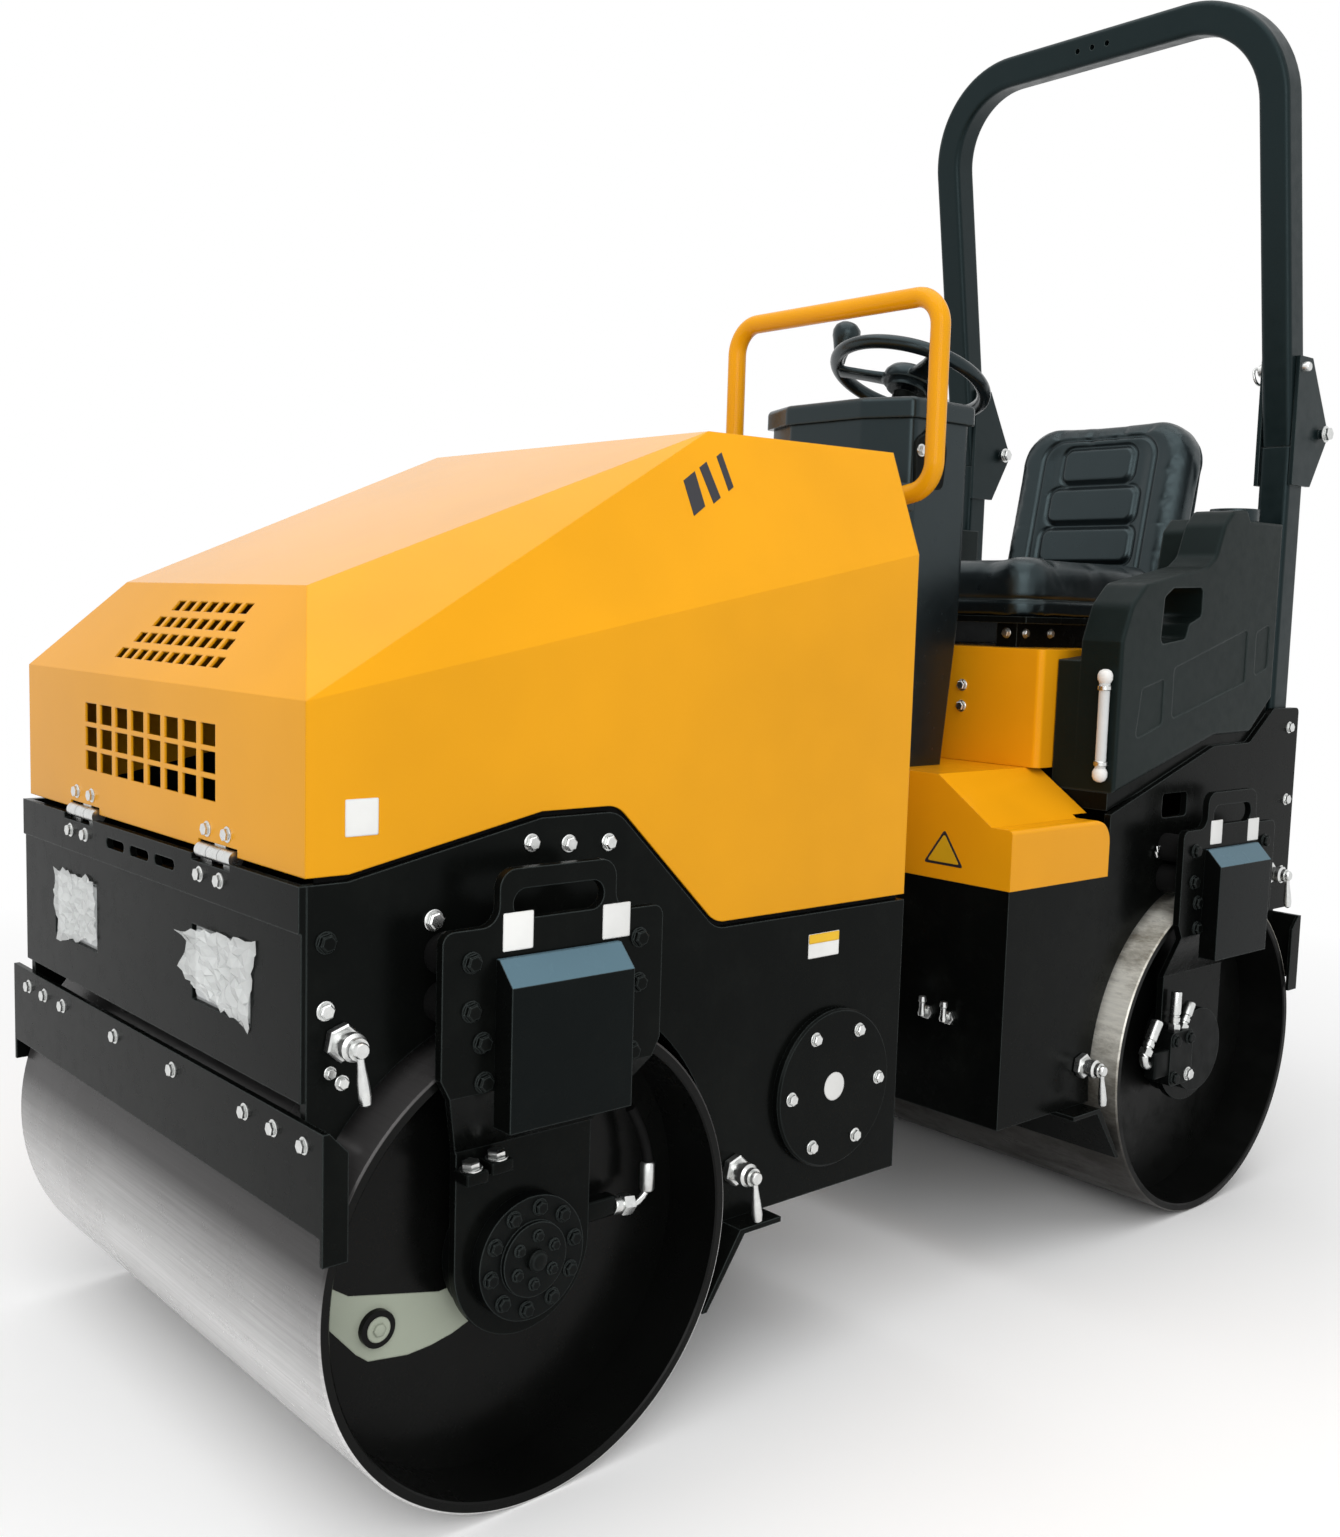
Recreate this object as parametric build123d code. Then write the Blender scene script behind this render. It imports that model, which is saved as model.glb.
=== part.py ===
from build123d import *
from math import cos, radians, sin, sqrt
import os

# Driving sizes in millimetres: +Z is up, the front faces -Y and the machine's left side is +X
WHEELBASE = 1480.0
DRUM_R = 290.0
DRUM_WIDTH = 900.0
FACE_TUCK = 6.0
TAIL_RUN = 46.0
FOLD_RUN = 43.0
FRAME_INSET = 40.0
PLATE = 12.0
SHEET = 4.0
PANEL = 6.0
PANEL_LIP = 3.0
SEAT_GAP = 0.3
RUN_GAP = 0.05

# Places worked out from the driving sizes
FACE_REACH = DRUM_R - FACE_TUCK
TAIL_REACH = FACE_REACH + TAIL_RUN
REAR_OVERHANG = TAIL_REACH + FOLD_RUN
FRONT_OVERHANG = FACE_REACH + SEAT_GAP + PANEL + PANEL_LIP
LENGTH = FRONT_OVERHANG + WHEELBASE + REAR_OVERHANG
FRONT_Y = FRONT_OVERHANG - LENGTH / 2
REAR_Y = FRONT_Y + WHEELBASE
PIVOT_Y = (FRONT_Y + REAR_Y) / 2
AXLE_Z = DRUM_R
DRUM_TOP = AXLE_Z + DRUM_R
DRUM_HALF = DRUM_WIDTH / 2
FRAME_HALF = DRUM_HALF - FRAME_INSET
FRAME_IN = FRAME_HALF - PLATE
ARCH_R = DRUM_R + 22
DECK_TOP = DRUM_TOP + 65
DECK_UNDER = DECK_TOP - PLATE
FRAME_BOTTOM = AXLE_Z - 43
FRONT_FACE = FRONT_Y - FACE_REACH
FRAME_REAR = PIVOT_Y - 72
REAR_FACE = PIVOT_Y + 180
BOX_FRONT = FRONT_Y + DRUM_R + 75
FLOOR_REAR = REAR_Y - DRUM_R - 110
BEARING_REAR = REAR_Y - ARCH_R - 98

# Drum
SHELL = 14.0
DISC_RECESS = 90.0
DISC = 12.0
SPINDLE_R = 60.0
HUB_TUBE = 16.0
PLUG_R = 22.0

# Drum arm: an outer plate beside the drum, stepped inwards below the rim to carry the hub
ARM = 12.0
ARM_OUT = DRUM_HALF + 6
ARM_IN = DRUM_HALF - DISC_RECESS + 40
ARM_STEP_TOP = DRUM_TOP - 65
ARM_STEP_LOW = ARM_STEP_TOP - 85
ARM_HALF = 155.0
ARM_TOP = DRUM_TOP + 122
HANDLE_HALF = 82.0
HANDLE_RISE = 62.0
HUB_HOLE_R = 62.0
HUB_FLANGE_R = 75.0
MOTOR_SHIFT = 75.0
MOTOR_HALF = 36.0
MOTOR_TALL = 48.0
MOTOR_DEEP = 30.0
COVER_HALF = 86.0
COVER_DEPTH = 32.0
COVER_TOP = DRUM_TOP + 86
COVER_BOTTOM = DRUM_TOP - 104
COVER_SHEET = 3.0
BUFFER_R = 24.0
BUFFER_Y = 118.0
BUFFER_Z = (DRUM_TOP + 32, DRUM_TOP + 86)

# Hood
HOOD_HALF = FRAME_HALF - 4
HOOD_REAR = PIVOT_Y - 68
HOOD_SHEET = 3.0
BELT_FRONT = DRUM_TOP + 368
BELT_REAR = DRUM_TOP + 559
BROW_Y = FRONT_FACE + 81
BROW_Z = DRUM_TOP + 487
BROW_HALF = HOOD_HALF - 151
CREST_Z = DRUM_TOP + 704
CREST_Y = HOOD_REAR - 336
CREST_REAR_HALF = HOOD_HALF - 56
SILL_FRONT = DRUM_TOP + 184
SILL_ARCH = DRUM_TOP + 235
SILL_REAR = DRUM_TOP + 72
SILL_GAP = 7.0
GRILLE_COLUMNS = 8
GRILLE_ROWS = 3
GRILLE_PITCH_X = 50.2
GRILLE_PITCH_Z = 31.4
GRILLE_HOLE_X = 38.0
GRILLE_HOLE_Z = 25.2
GRILLE_Z = DRUM_TOP + 284
LOUVRE_ROWS = 4
LOUVRE_TOP_COUNT = 7
LOUVRE_PITCH = 31.0
LOUVRE_HOLE = 22.0
LOUVRE_ROW_PITCH = 25.0
LOUVRE_ROW_HEIGHT = 15.0
LOUVRE_RIGHT = 152.0
HINGE_X = 200.0
HINGE_R = 9.0
HINGE_PIN_R = 4.0
HINGE_Y = FRONT_FACE + 1
HINGE_Z = SILL_FRONT - 3
HINGE_LONG = 90.0
HINGE_NOTCH = 100.0

# Front panel and lamps
PANEL_BOTTOM = DRUM_TOP - 54
PANEL_TOP = SILL_FRONT - SILL_GAP
PANEL_FOLD = DRUM_TOP + 127
LAMP_X = 220.0
LAMP_Z = DRUM_TOP + 48
LAMP_WIDE = 150.0
LAMP_HIGH = 90.0
TANK_COVER_EDGE = 46.0
TANK_COVER_Z = AXLE_Z + 105

# Scrapers and spray bars, placed from each axle
BAR_TOP = PANEL_BOTTOM - 18
BAR_PLATE = 8.0
BLADE_GAP = 7.0
BLADE_ANGLE = 19.27
BLADE = 8.0
FLANGE = 6.0
FLANGE_GAP = 6.0
SPRAY_R = 11.0
SPRAY_OUTER = (45.0 - DRUM_R, DRUM_R + 7)
SPRAY_INNER = (DRUM_R + 51, 26.0)

# Round tank cover between the inner spray bar and the frame's rear edge
COVER_ROOM = FRAME_REAR - FRONT_Y - SPRAY_INNER[0] - SPRAY_R
TANK_COVER_R = COVER_ROOM / 2 - TANK_COVER_EDGE
TANK_COVER_Y = FRAME_REAR - COVER_ROOM / 2 + 14

# Centre joint
LUG = 25.0
LUG_LOW = AXLE_Z + 45
LUG_HIGH = AXLE_Z + 210
LUG_R = 60.0
PIN_R = 30.0
SHAFT_R = 35.0
SHAFT_Z = (LUG_LOW + LUG + LUG_HIGH) / 2
BEARING_R = 62.0
YOKE_HALF = 58.0
ROD_PIN_X = 170.0
ROD_PIN_Y = PIVOT_Y + 80
BARREL_PIN_X = 200.0
BARREL_PIN_Y = BOX_FRONT + PLATE + 38
BARREL_STUD_R = 12.0
BARREL_R = 27.0
ROD_R = 14.0
EYE_R = 26.0
EYE = 30.0
CYLINDER_Z = SHAFT_Z

# Rear body
PLATFORM_BOTTOM = DRUM_TOP + 50
PLATFORM_TOP = DRUM_TOP + 220
STEP_TOP = DRUM_TOP + 146
PLATFORM_REAR = REAR_Y - 293
CONSOLE_FRONT = REAR_FACE - 28
CONSOLE_REAR = CONSOLE_FRONT + 200
LEG_ROOM = 58.0
TANK_IN = FRAME_HALF - 122
TANK_TOP = DRUM_TOP + 660
CAP_R = 44.0
CAP_Y = REAR_Y + 154
TANK_PANELS = (
    ((-232.0, 276.0), (-150.0, 300.0), (-150.0, 378.0), (-218.0, 362.0)),
    ((-122.0, 308.0), (120.0, 370.0), (120.0, 466.0), (-122.0, 396.0)),
    ((150.0, 380.0), (198.0, 396.0), (198.0, 476.0), (150.0, 460.0)),
)
TANK_GRIP = (
    (-172.0, 436.0),
    (-92.0, 446.0),
    (-82.0, 472.0),
    (-44.0, 486.0),
    (-44.0, 536.0),
    (-140.0, 532.0),
    (-166.0, 516.0),
)
PEDESTAL_HALF = TANK_IN - 3
PEDESTAL_FRONT = CONSOLE_REAR + LEG_ROOM
PEDESTAL_REAR = REAR_Y + 195
PEDESTAL_TOP = DRUM_TOP + 422
SEAT_HALF = 225.0
CUSHION_BOTTOM = PEDESTAL_TOP + 55
CUSHION_TOP = CUSHION_BOTTOM + 98
CUSHION_FRONT = PEDESTAL_FRONT + 40
CUSHION_REAR = REAR_Y + 165
BACK_TOP = DRUM_TOP + 900
BACK_LEAN = 12.0
CONSOLE_HALF = 172.0
CONSOLE_TOP = DRUM_TOP + 828
LID = 34.0
RAIL_R = 16.0
RAIL_HALF = 232.0
RAIL_TOP = DRUM_TOP + 978
RAIL_FOOT = DRUM_TOP + 665
RAIL_Y = REAR_FACE - 12
WHEEL_R = 134.0
WHEEL_RIM_R = 12.0
WHEEL_Y = CONSOLE_REAR + 20
WHEEL_Z = DRUM_TOP + 890
WHEEL_HUB_R = 36.0
COLUMN_TILT = 21.0
COLUMN_R = 22.0
COLUMN_LONG = 130.0

# Roll bar
TUBE = 60.0
TUBE_ROUND = 10.0
POST_OUT = FRAME_IN - SEAT_GAP
POST_Y = REAR_Y + TAIL_REACH - 50
TANK_REAR = POST_Y - TUBE / 2 - 28
POST_BOTTOM = DECK_TOP + 4
POST_TOP = DRUM_TOP + 805
EAR = 8.0
EAR_GAP = 1.0
EAR_R = 28.0
FOLD_Y = REAR_Y + REAR_OVERHANG - EAR_R
FOLD_Z = DRUM_TOP + 835
FOLD_PIN_R = 9.0
HOOP_TOP = DRUM_TOP + 1615
HOOP_LEAN = 9.0
HOOP_BEND = 170.0
HOOP_HOLE_R = 5.0
HOOP_HOLE_X = (-33.0, 0.0, 33.0)
HOOP_HOLE_DEEP = 14.0


# Basic forms
def slab(x0, x1, y0, y1, z0, z1):
    return Pos((x0 + x1) / 2, (y0 + y1) / 2, (z0 + z1) / 2) * Box(abs(x1 - x0), abs(y1 - y0), abs(z1 - z0))


def rod_x(r, x0, x1, y, z):
    return Pos((x0 + x1) / 2, y, z) * Rot(0, 90, 0) * Cylinder(r, abs(x1 - x0))


def rod_y(r, y0, y1, x, z):
    return Pos(x, (y0 + y1) / 2, z) * Rot(90, 0, 0) * Cylinder(r, abs(y1 - y0))


def rod_z(r, z0, z1, x, y):
    return Pos(x, y, (z0 + z1) / 2) * Cylinder(r, abs(z1 - z0))


def outline(points, rounds=()):
    """A closed flat face through the points, with chosen corners rounded by (point, radius)."""
    face = make_face(Polyline(*points, close=True))
    for (px, py), r in rounds:
        corner = face.vertices().sort_by_distance((px, py, 0))[0]
        face = fillet(corner, r)
    return face


def across(face, x0, x1):
    """Extrudes a face drawn in (y, z) across the machine from x0 to x1."""
    return Pos(min(x0, x1), 0, 0) * extrude(Plane.YZ * face, abs(x1 - x0))


def along(face, y0, y1):
    """Extrudes a face drawn in (x, z) along the machine from y0 to y1."""
    return Pos(0, max(y0, y1), 0) * extrude(Plane.XZ * face, abs(y1 - y0))


def flip(shape):
    return mirror(shape, about=Plane.YZ)


def pair(shape):
    return [shape, flip(shape)]


def solids_of(*shapes):
    """One compound of the separate solids in the shapes given."""
    found = []
    for shape in shapes:
        for piece in shape if isinstance(shape, list) else [shape]:
            found.extend(piece.solids())
    return Compound(children=found)


# Drums
def drum(axle):
    shell = rod_x(DRUM_R, -DRUM_HALF, DRUM_HALF, axle, AXLE_Z)
    shell -= rod_x(DRUM_R - SHELL, -DRUM_HALF, DRUM_HALF, axle, AXLE_Z)
    disc_face = DRUM_HALF - DISC_RECESS
    tube = rod_x(SPINDLE_R + HUB_TUBE, -disc_face, disc_face, axle, AXLE_Z)
    body = shell + tube
    for side in (-1, 1):
        body += rod_x(DRUM_R - SHELL / 2, side * (disc_face - DISC), side * disc_face, axle, AXLE_Z)
        plug = (axle + side * 0.62 * DRUM_R * cos(radians(200)), AXLE_Z + 0.62 * DRUM_R * sin(radians(200)))
        body += rod_x(PLUG_R, side * (disc_face - 1), side * (disc_face + 8), *plug)
    body -= rod_x(SPINDLE_R + RUN_GAP, -DRUM_HALF, DRUM_HALF, axle, AXLE_Z)
    rims = body.edges().filter_by(GeomType.CIRCLE)
    ends = [e for e in rims if abs(abs(e.center().X) - DRUM_HALF) < 1e-3]
    return chamfer(ends, 2)


# Arms, covers, buffers and hubs that carry one drum
def arm(axle):
    step = [
        (ARM_OUT, ARM_TOP + HANDLE_RISE),
        (ARM_OUT, ARM_STEP_TOP),
        (ARM_IN, ARM_STEP_LOW),
        (ARM_IN, AXLE_Z - 110),
        (ARM_IN + ARM, AXLE_Z - 110),
        (ARM_IN + ARM, ARM_STEP_LOW + 3),
        (ARM_OUT + ARM, ARM_STEP_TOP + 3),
        (ARM_OUT + ARM, ARM_TOP + HANDLE_RISE),
    ]
    sheet = along(outline(step), axle - ARM_HALF, axle + ARM_HALF)
    low_half = HUB_FLANGE_R + 22
    edge = [
        (axle - ARM_HALF, ARM_STEP_TOP + 25),
        (axle - ARM_HALF, ARM_TOP),
        (axle - HANDLE_HALF, ARM_TOP),
        (axle - HANDLE_HALF, ARM_TOP + HANDLE_RISE),
        (axle + HANDLE_HALF, ARM_TOP + HANDLE_RISE),
        (axle + HANDLE_HALF, ARM_TOP),
        (axle + ARM_HALF, ARM_TOP),
        (axle + ARM_HALF, ARM_STEP_TOP + 25),
        (axle + low_half, ARM_STEP_LOW),
        (axle + low_half, AXLE_Z),
        (axle - low_half, AXLE_Z),
        (axle - low_half, ARM_STEP_LOW),
    ]
    rounds = [(p, 22) for p in edge[2:6]] + [(edge[1], 14), (edge[6], 14)]
    reach = DRUM_WIDTH
    plate = across(outline(edge, rounds), 0, reach) + rod_x(low_half, 0, reach, axle, AXLE_Z)
    body = sheet & plate
    grip = Pos(axle, ARM_TOP + 22) * SlotOverall(2 * HANDLE_HALF - 36, 34)
    body -= across(grip, 0, reach)
    return body - rod_x(HUB_HOLE_R, 0, reach, axle, AXLE_Z)


def arm_cover(axle):
    back = ARM_OUT + ARM + SEAT_GAP
    front = back + COVER_DEPTH
    t = COVER_SHEET

    def form(inset, back_x, low):
        points = [
            (back_x, low),
            (front - inset, low),
            (front - inset, COVER_TOP - 27 - inset / 2),
            (back + 6 - inset / 2, COVER_TOP - inset),
            (back_x, COVER_TOP - inset),
        ]
        return along(outline(points), axle - COVER_HALF + inset, axle + COVER_HALF - inset)

    return form(0, back, COVER_BOTTOM) - form(t, back - t, COVER_BOTTOM - t)


def buffers(axle):
    x0 = FRAME_HALF + SEAT_GAP
    x1 = ARM_OUT - SEAT_GAP
    return [rod_x(BUFFER_R, x0, x1, axle + y, z) for y in (-BUFFER_Y, BUFFER_Y) for z in BUFFER_Z]


def hub(axle, motor):
    """A bearing housing on the arm, with a square motor block shifted by motor, or a plain boss."""
    plate_out = ARM_IN + ARM + SEAT_GAP
    plate_in = ARM_IN - SEAT_GAP
    disc_face = DRUM_HALF - DISC_RECESS
    body = rod_x(HUB_FLANGE_R, plate_out, plate_out + 18, axle, AXLE_Z)
    body += rod_x(HUB_HOLE_R - SEAT_GAP, plate_in - 1, plate_out + 1, axle, AXLE_Z)
    body += rod_x(HUB_FLANGE_R + 13, disc_face + 12, plate_in, axle, AXLE_Z)
    body += rod_x(SPINDLE_R, disc_face - 60, disc_face + 13, axle, AXLE_Z)
    if motor is None:
        return body + rod_x(HUB_FLANGE_R - 30, plate_out + 17, plate_out + 24, axle, AXLE_Z)
    y = axle + motor
    low, high = AXLE_Z - MOTOR_TALL, AXLE_Z + MOTOR_TALL
    block = slab(plate_out, plate_out + MOTOR_DEEP, y - MOTOR_HALF, y + MOTOR_HALF, low, high)
    return body + fillet(block.edges().filter_by(Axis.X), 12)


# Scrapers: an outer upright bar and an inner hanging blade beside each drum
def scraper_outer(axle, out):
    """out is -1 where the machine's end lies towards -Y, and 1 where it lies towards +Y."""
    face = FACE_REACH + SEAT_GAP
    front = face + BAR_PLATE
    tip_y = (DRUM_R + BLADE_GAP) * cos(radians(BLADE_ANGLE))
    tip_z = AXLE_Z + (DRUM_R + BLADE_GAP) * sin(radians(BLADE_ANGLE))
    low = tip_z + BLADE
    points = [(face, BAR_TOP), (front, BAR_TOP), (front, low)]
    points += [(tip_y, tip_z), (tip_y, low), (face, low + BLADE)]
    plate = outline([(axle + out * y, z) for y, z in points])
    hook = [(face, BAR_TOP), (front, BAR_TOP), (front, low - 30)]
    hook += [(face - 22, low - 30), (face - 22, BAR_TOP - 24)]
    ear = outline([(axle + out * y, z) for y, z in hook])
    inner = DRUM_HALF + FLANGE_GAP
    body = across(plate, -inner - FLANGE, inner + FLANGE)
    body -= across(plate, inner, inner + FLANGE) + across(plate, -inner - FLANGE, -inner)
    return body + across(ear, inner, inner + FLANGE) + across(ear, -inner - FLANGE, -inner)


def scraper_inner(axle, out):
    top = FRAME_BOTTOM - SEAT_GAP
    tip_z = AXLE_Z - 140
    tip_y = sqrt((DRUM_R + BLADE_GAP) ** 2 - (tip_z - AXLE_Z) ** 2)
    root = ARCH_R + 14
    points = [
        (root + 75, top),
        (root, top),
        (tip_y, tip_z),
        (tip_y + 8, tip_z),
        (root + 8, top - 7),
        (root + 75, top - 7),
    ]
    return across(outline([(axle - out * y, z) for y, z in points]), -DRUM_HALF + 5, DRUM_HALF - 5)


def spray_places(axle, out):
    return [(axle - out * y, AXLE_Z + z) for y, z in (SPRAY_OUTER, SPRAY_INNER)]


def spray_bars(axle, out):
    end = FRAME_HALF + 16
    return [rod_x(SPRAY_R, -end, end, y, z) for y, z in spray_places(axle, out)]


def side_holes(plate, axle, out):
    for y, z in spray_places(axle, out):
        plate -= rod_x(SPRAY_R + SEAT_GAP, -DRUM_WIDTH, DRUM_WIDTH, y, z)
    return plate - rod_x(ARCH_R, -DRUM_WIDTH, DRUM_WIDTH, axle, AXLE_Z)


# Front body
def sill(drop, shift):
    """The lower edge of the hood's sides from front to rear, lowered for the frame's top edge."""
    points = [
        (FRONT_FACE, SILL_FRONT),
        (FRONT_Y - 233, SILL_FRONT),
        (FRONT_Y + 19, SILL_ARCH),
        (FRONT_Y + 132, SILL_ARCH),
        (FRONT_Y + 299, SILL_REAR),
        (HOOD_REAR, SILL_REAR),
    ]
    return [(y - shift, z - drop) for y, z in points]


def front_frame():
    top = sill(SILL_GAP, 3)
    top[0] = (FRONT_FACE, top[0][1])
    top[-1] = (FRAME_REAR, top[-1][1])
    points = top + [(FRAME_REAR, FRAME_BOTTOM), (FRONT_FACE, FRAME_BOTTOM)]
    rounds = [(top[3], 40), (top[4], 40)]
    side = across(outline(points, rounds), FRAME_IN, FRAME_HALF)
    side = side_holes(side, FRONT_Y, -1)
    side = side.solids().sort_by(SortBy.VOLUME)[-1]
    inner = FRAME_IN + 1
    body = side + flip(side)
    body += slab(-inner, inner, FRONT_FACE + 24, FRAME_REAR, DECK_UNDER, DECK_TOP)
    body += slab(-inner, inner, BOX_FRONT, BOX_FRONT + PLATE, FRAME_BOTTOM, DECK_TOP)
    body += slab(-inner, inner, BOX_FRONT, FRAME_REAR, FRAME_BOTTOM, FRAME_BOTTOM + PLATE)
    body += slab(-inner, inner, FRAME_REAR - PLATE, FRAME_REAR, FRAME_BOTTOM, DECK_TOP)
    for z in (LUG_LOW, LUG_HIGH):
        lug = slab(-LUG_R - 25, LUG_R + 25, FRAME_REAR - 1, PIVOT_Y - 30, z, z + LUG)
        lug += slab(-LUG_R, LUG_R, FRAME_REAR - 1, PIVOT_Y, z, z + LUG)
        lug += rod_z(LUG_R, z, z + LUG, 0, PIVOT_Y)
        body += lug
    body -= rod_z(PIN_R + RUN_GAP, LUG_LOW - 1, LUG_HIGH + LUG + 1, 0, PIVOT_Y)
    window_x = (BARREL_PIN_X + ROD_PIN_X) / 2
    low, high = CYLINDER_Z - 45, CYLINDER_Z + 45
    body -= slab(window_x - 75, window_x + 75, FRAME_REAR - 20, FRAME_REAR + 1, low, high)
    stud = rod_z(EYE_R - 6, FRAME_BOTTOM + 1, CYLINDER_Z - EYE / 2 - 2, BARREL_PIN_X, BARREL_PIN_Y)
    stud += rod_z(BARREL_STUD_R, CYLINDER_Z - EYE, CYLINDER_Z + EYE / 2 + 8, BARREL_PIN_X, BARREL_PIN_Y)
    return body + stud


def pivot_pin():
    body = rod_z(PIN_R, LUG_LOW - 6, LUG_HIGH + LUG, 0, PIVOT_Y)
    return body + rod_z(PIN_R + 14, LUG_HIGH + LUG + SEAT_GAP, LUG_HIGH + LUG + 14, 0, PIVOT_Y) + rod_z(
        PIN_R, LUG_HIGH + LUG - 1, LUG_HIGH + LUG + 2, 0, PIVOT_Y)


def front_panel():
    y1 = FRONT_FACE - SEAT_GAP
    y0 = y1 - PANEL
    body = slab(-FRAME_HALF, FRAME_HALF, y0, y1, PANEL_BOTTOM, PANEL_TOP)
    body += slab(-FRAME_HALF, FRAME_HALF, y0 - PANEL_LIP, y0 + 1, PANEL_FOLD, PANEL_TOP)
    for side in (-1, 1):
        x = side * LAMP_X
        half, tall = LAMP_WIDE / 2, LAMP_HIGH / 2
        body -= slab(x - half, x + half, y0 - 9, y1 + 9, LAMP_Z - tall, LAMP_Z + tall)
    for x in (-75, 0, 75):
        slot = Pos(x, PANEL_TOP - 22) * SlotOverall(58, 13)
        body -= along(slot, y0 - 9, y1 + 9)
    return body - hinge_notches()


def headlamps():
    y0 = FRONT_FACE - 4
    lamps = []
    for side in (-1, 1):
        x = side * LAMP_X
        half = LAMP_WIDE / 2 - 5
        tall = LAMP_HIGH / 2 - 5
        lamp = slab(x - half, x + half, y0, FRONT_FACE + 20, LAMP_Z - tall, LAMP_Z + tall)
        lamp = fillet(lamp.edges().filter_by(Axis.Y), 8)
        low, high = LAMP_Z - tall - 14, LAMP_Z + tall + 14
        lamp += slab(x - half - 14, x + half + 14, FRONT_FACE, FRONT_FACE + 3, low, high)
        lamps.append(lamp)
    return lamps


def tank_cover():
    x0 = FRAME_HALF + SEAT_GAP
    ring = rod_x(TANK_COVER_R, x0, x0 + 12, TANK_COVER_Y, TANK_COVER_Z)
    ring = chamfer(ring.edges().filter_by(GeomType.CIRCLE).sort_by(Axis.X)[-1], 3)
    return ring


def engine():
    body = slab(-235, 235, FRONT_Y + 30, FRAME_REAR - 70, DECK_TOP + SEAT_GAP, DRUM_TOP + 480)
    return chamfer(body.edges().group_by(Axis.Z)[-1], 25)


# Hood
def hood_block(inset, low):
    """The hood's faceted outer form, each face moved inwards by inset, down to the height low."""
    half = HOOD_HALF
    belt_front = (half, FRONT_FACE, BELT_FRONT)
    belt_rear = (half, HOOD_REAR, BELT_REAR)
    rear_top = (CREST_REAR_HALF, HOOD_REAR, CREST_Z)
    brow = (BROW_HALF, BROW_Y, BROW_Z)
    brow_right = (-BROW_HALF, BROW_Y, BROW_Z)
    shoulder = Vector(belt_rear) - Vector(belt_front)
    normal = shoulder.cross(Vector(rear_top) - Vector(belt_front)).normalized()
    fall = normal.Y * (CREST_Y - FRONT_FACE) + normal.Z * (CREST_Z - BELT_FRONT)
    crest_half = half - fall / normal.X
    crest = (crest_half, CREST_Y, CREST_Z)
    crest_right = (-crest_half, CREST_Y, CREST_Z)
    block = slab(-half + inset, half - inset, FRONT_FACE + inset, HOOD_REAR - inset, low, CREST_Z - inset)
    middle = Vector(0, (FRONT_FACE + HOOD_REAR) / 2, SILL_ARCH)
    facets = [
        (belt_front, belt_rear, rear_top),
        (belt_front, brow, crest),
        (brow, brow_right, crest),
        (belt_front, brow, brow_right),
    ]
    for a, b, c in facets:
        out = (Vector(b) - Vector(a)).cross(Vector(c) - Vector(a)).normalized()
        if out.dot(Vector(a) - middle) < 0:
            out = -out
        for turn in (1, -1):
            side = Vector(out.X * turn, out.Y, out.Z)
            foot = Vector(a[0] * turn, a[1], a[2]) - side * inset
            block = split(block, Plane(origin=foot, z_dir=side), keep=Keep.BOTTOM)
    return block


def hood():
    low = SILL_REAR - 60
    body = hood_block(0, low) - hood_block(HOOD_SHEET, low - 10)
    edge = sill(0, 0)
    edge[0] = (FRONT_FACE - 20, edge[0][1])
    edge[-1] = (HOOD_REAR + 20, edge[-1][1])
    under = edge + [(HOOD_REAR + 20, low - 20), (FRONT_FACE - 20, low - 20)]
    body -= across(outline(under, [(edge[3], 40), (edge[4], 40)]), -DRUM_WIDTH, DRUM_WIDTH)
    return body - grille_holes() - louvre_holes() - hinge_notches()


def grille_holes():
    holes = []
    for column in range(GRILLE_COLUMNS):
        x = (column - (GRILLE_COLUMNS - 1) / 2) * GRILLE_PITCH_X
        for row in range(GRILLE_ROWS):
            z = GRILLE_Z + (row - (GRILLE_ROWS - 1) / 2) * GRILLE_PITCH_Z
            hole = Pos(x, z) * Rectangle(GRILLE_HOLE_X, GRILLE_HOLE_Z)
            holes.append(along(hole, FRONT_FACE - 20, FRONT_FACE + 20))
    return holes


def louvre_holes():
    """Rows of slanted holes on the sloping brow, one more hole in each lower row."""
    rise = BROW_Z - BELT_FRONT
    run = BROW_Y - FRONT_FACE
    across_slope = Vector(0, run, rise).normalized()
    face = Plane(origin=(0, FRONT_FACE + run / 2, BELT_FRONT + rise / 2), x_dir=(1, 0, 0),
                 z_dir=Vector(1, 0, 0).cross(across_slope))
    holes = []
    for row in range(LOUVRE_ROWS):
        v = ((LOUVRE_ROWS - 1) / 2 - row) * LOUVRE_ROW_PITCH
        for count in range(LOUVRE_TOP_COUNT + row):
            u = LOUVRE_RIGHT - count * LOUVRE_PITCH - v * 0.2
            lean = LOUVRE_ROW_HEIGHT * 0.35
            corners = [
                (u - LOUVRE_HOLE / 2 - lean / 2, v - LOUVRE_ROW_HEIGHT / 2),
                (u + LOUVRE_HOLE / 2 - lean / 2, v - LOUVRE_ROW_HEIGHT / 2),
                (u + LOUVRE_HOLE / 2 + lean / 2, v + LOUVRE_ROW_HEIGHT / 2),
                (u - LOUVRE_HOLE / 2 + lean / 2, v + LOUVRE_ROW_HEIGHT / 2),
            ]
            holes.append(extrude(face * outline(corners), 15, both=True))
    return holes


def hinge_notches():
    """Room for the hinge barrels in the hood's lower edge and the front panel's upper edge."""
    low = HINGE_Z - HINGE_R - 3
    high = HINGE_Z + HINGE_R + 3
    half = HINGE_NOTCH / 2
    return [slab(x - half, x + half, FRONT_FACE - 20, FRONT_FACE + 20, low, high)
            for x in (-HINGE_X, HINGE_X)]


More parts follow.
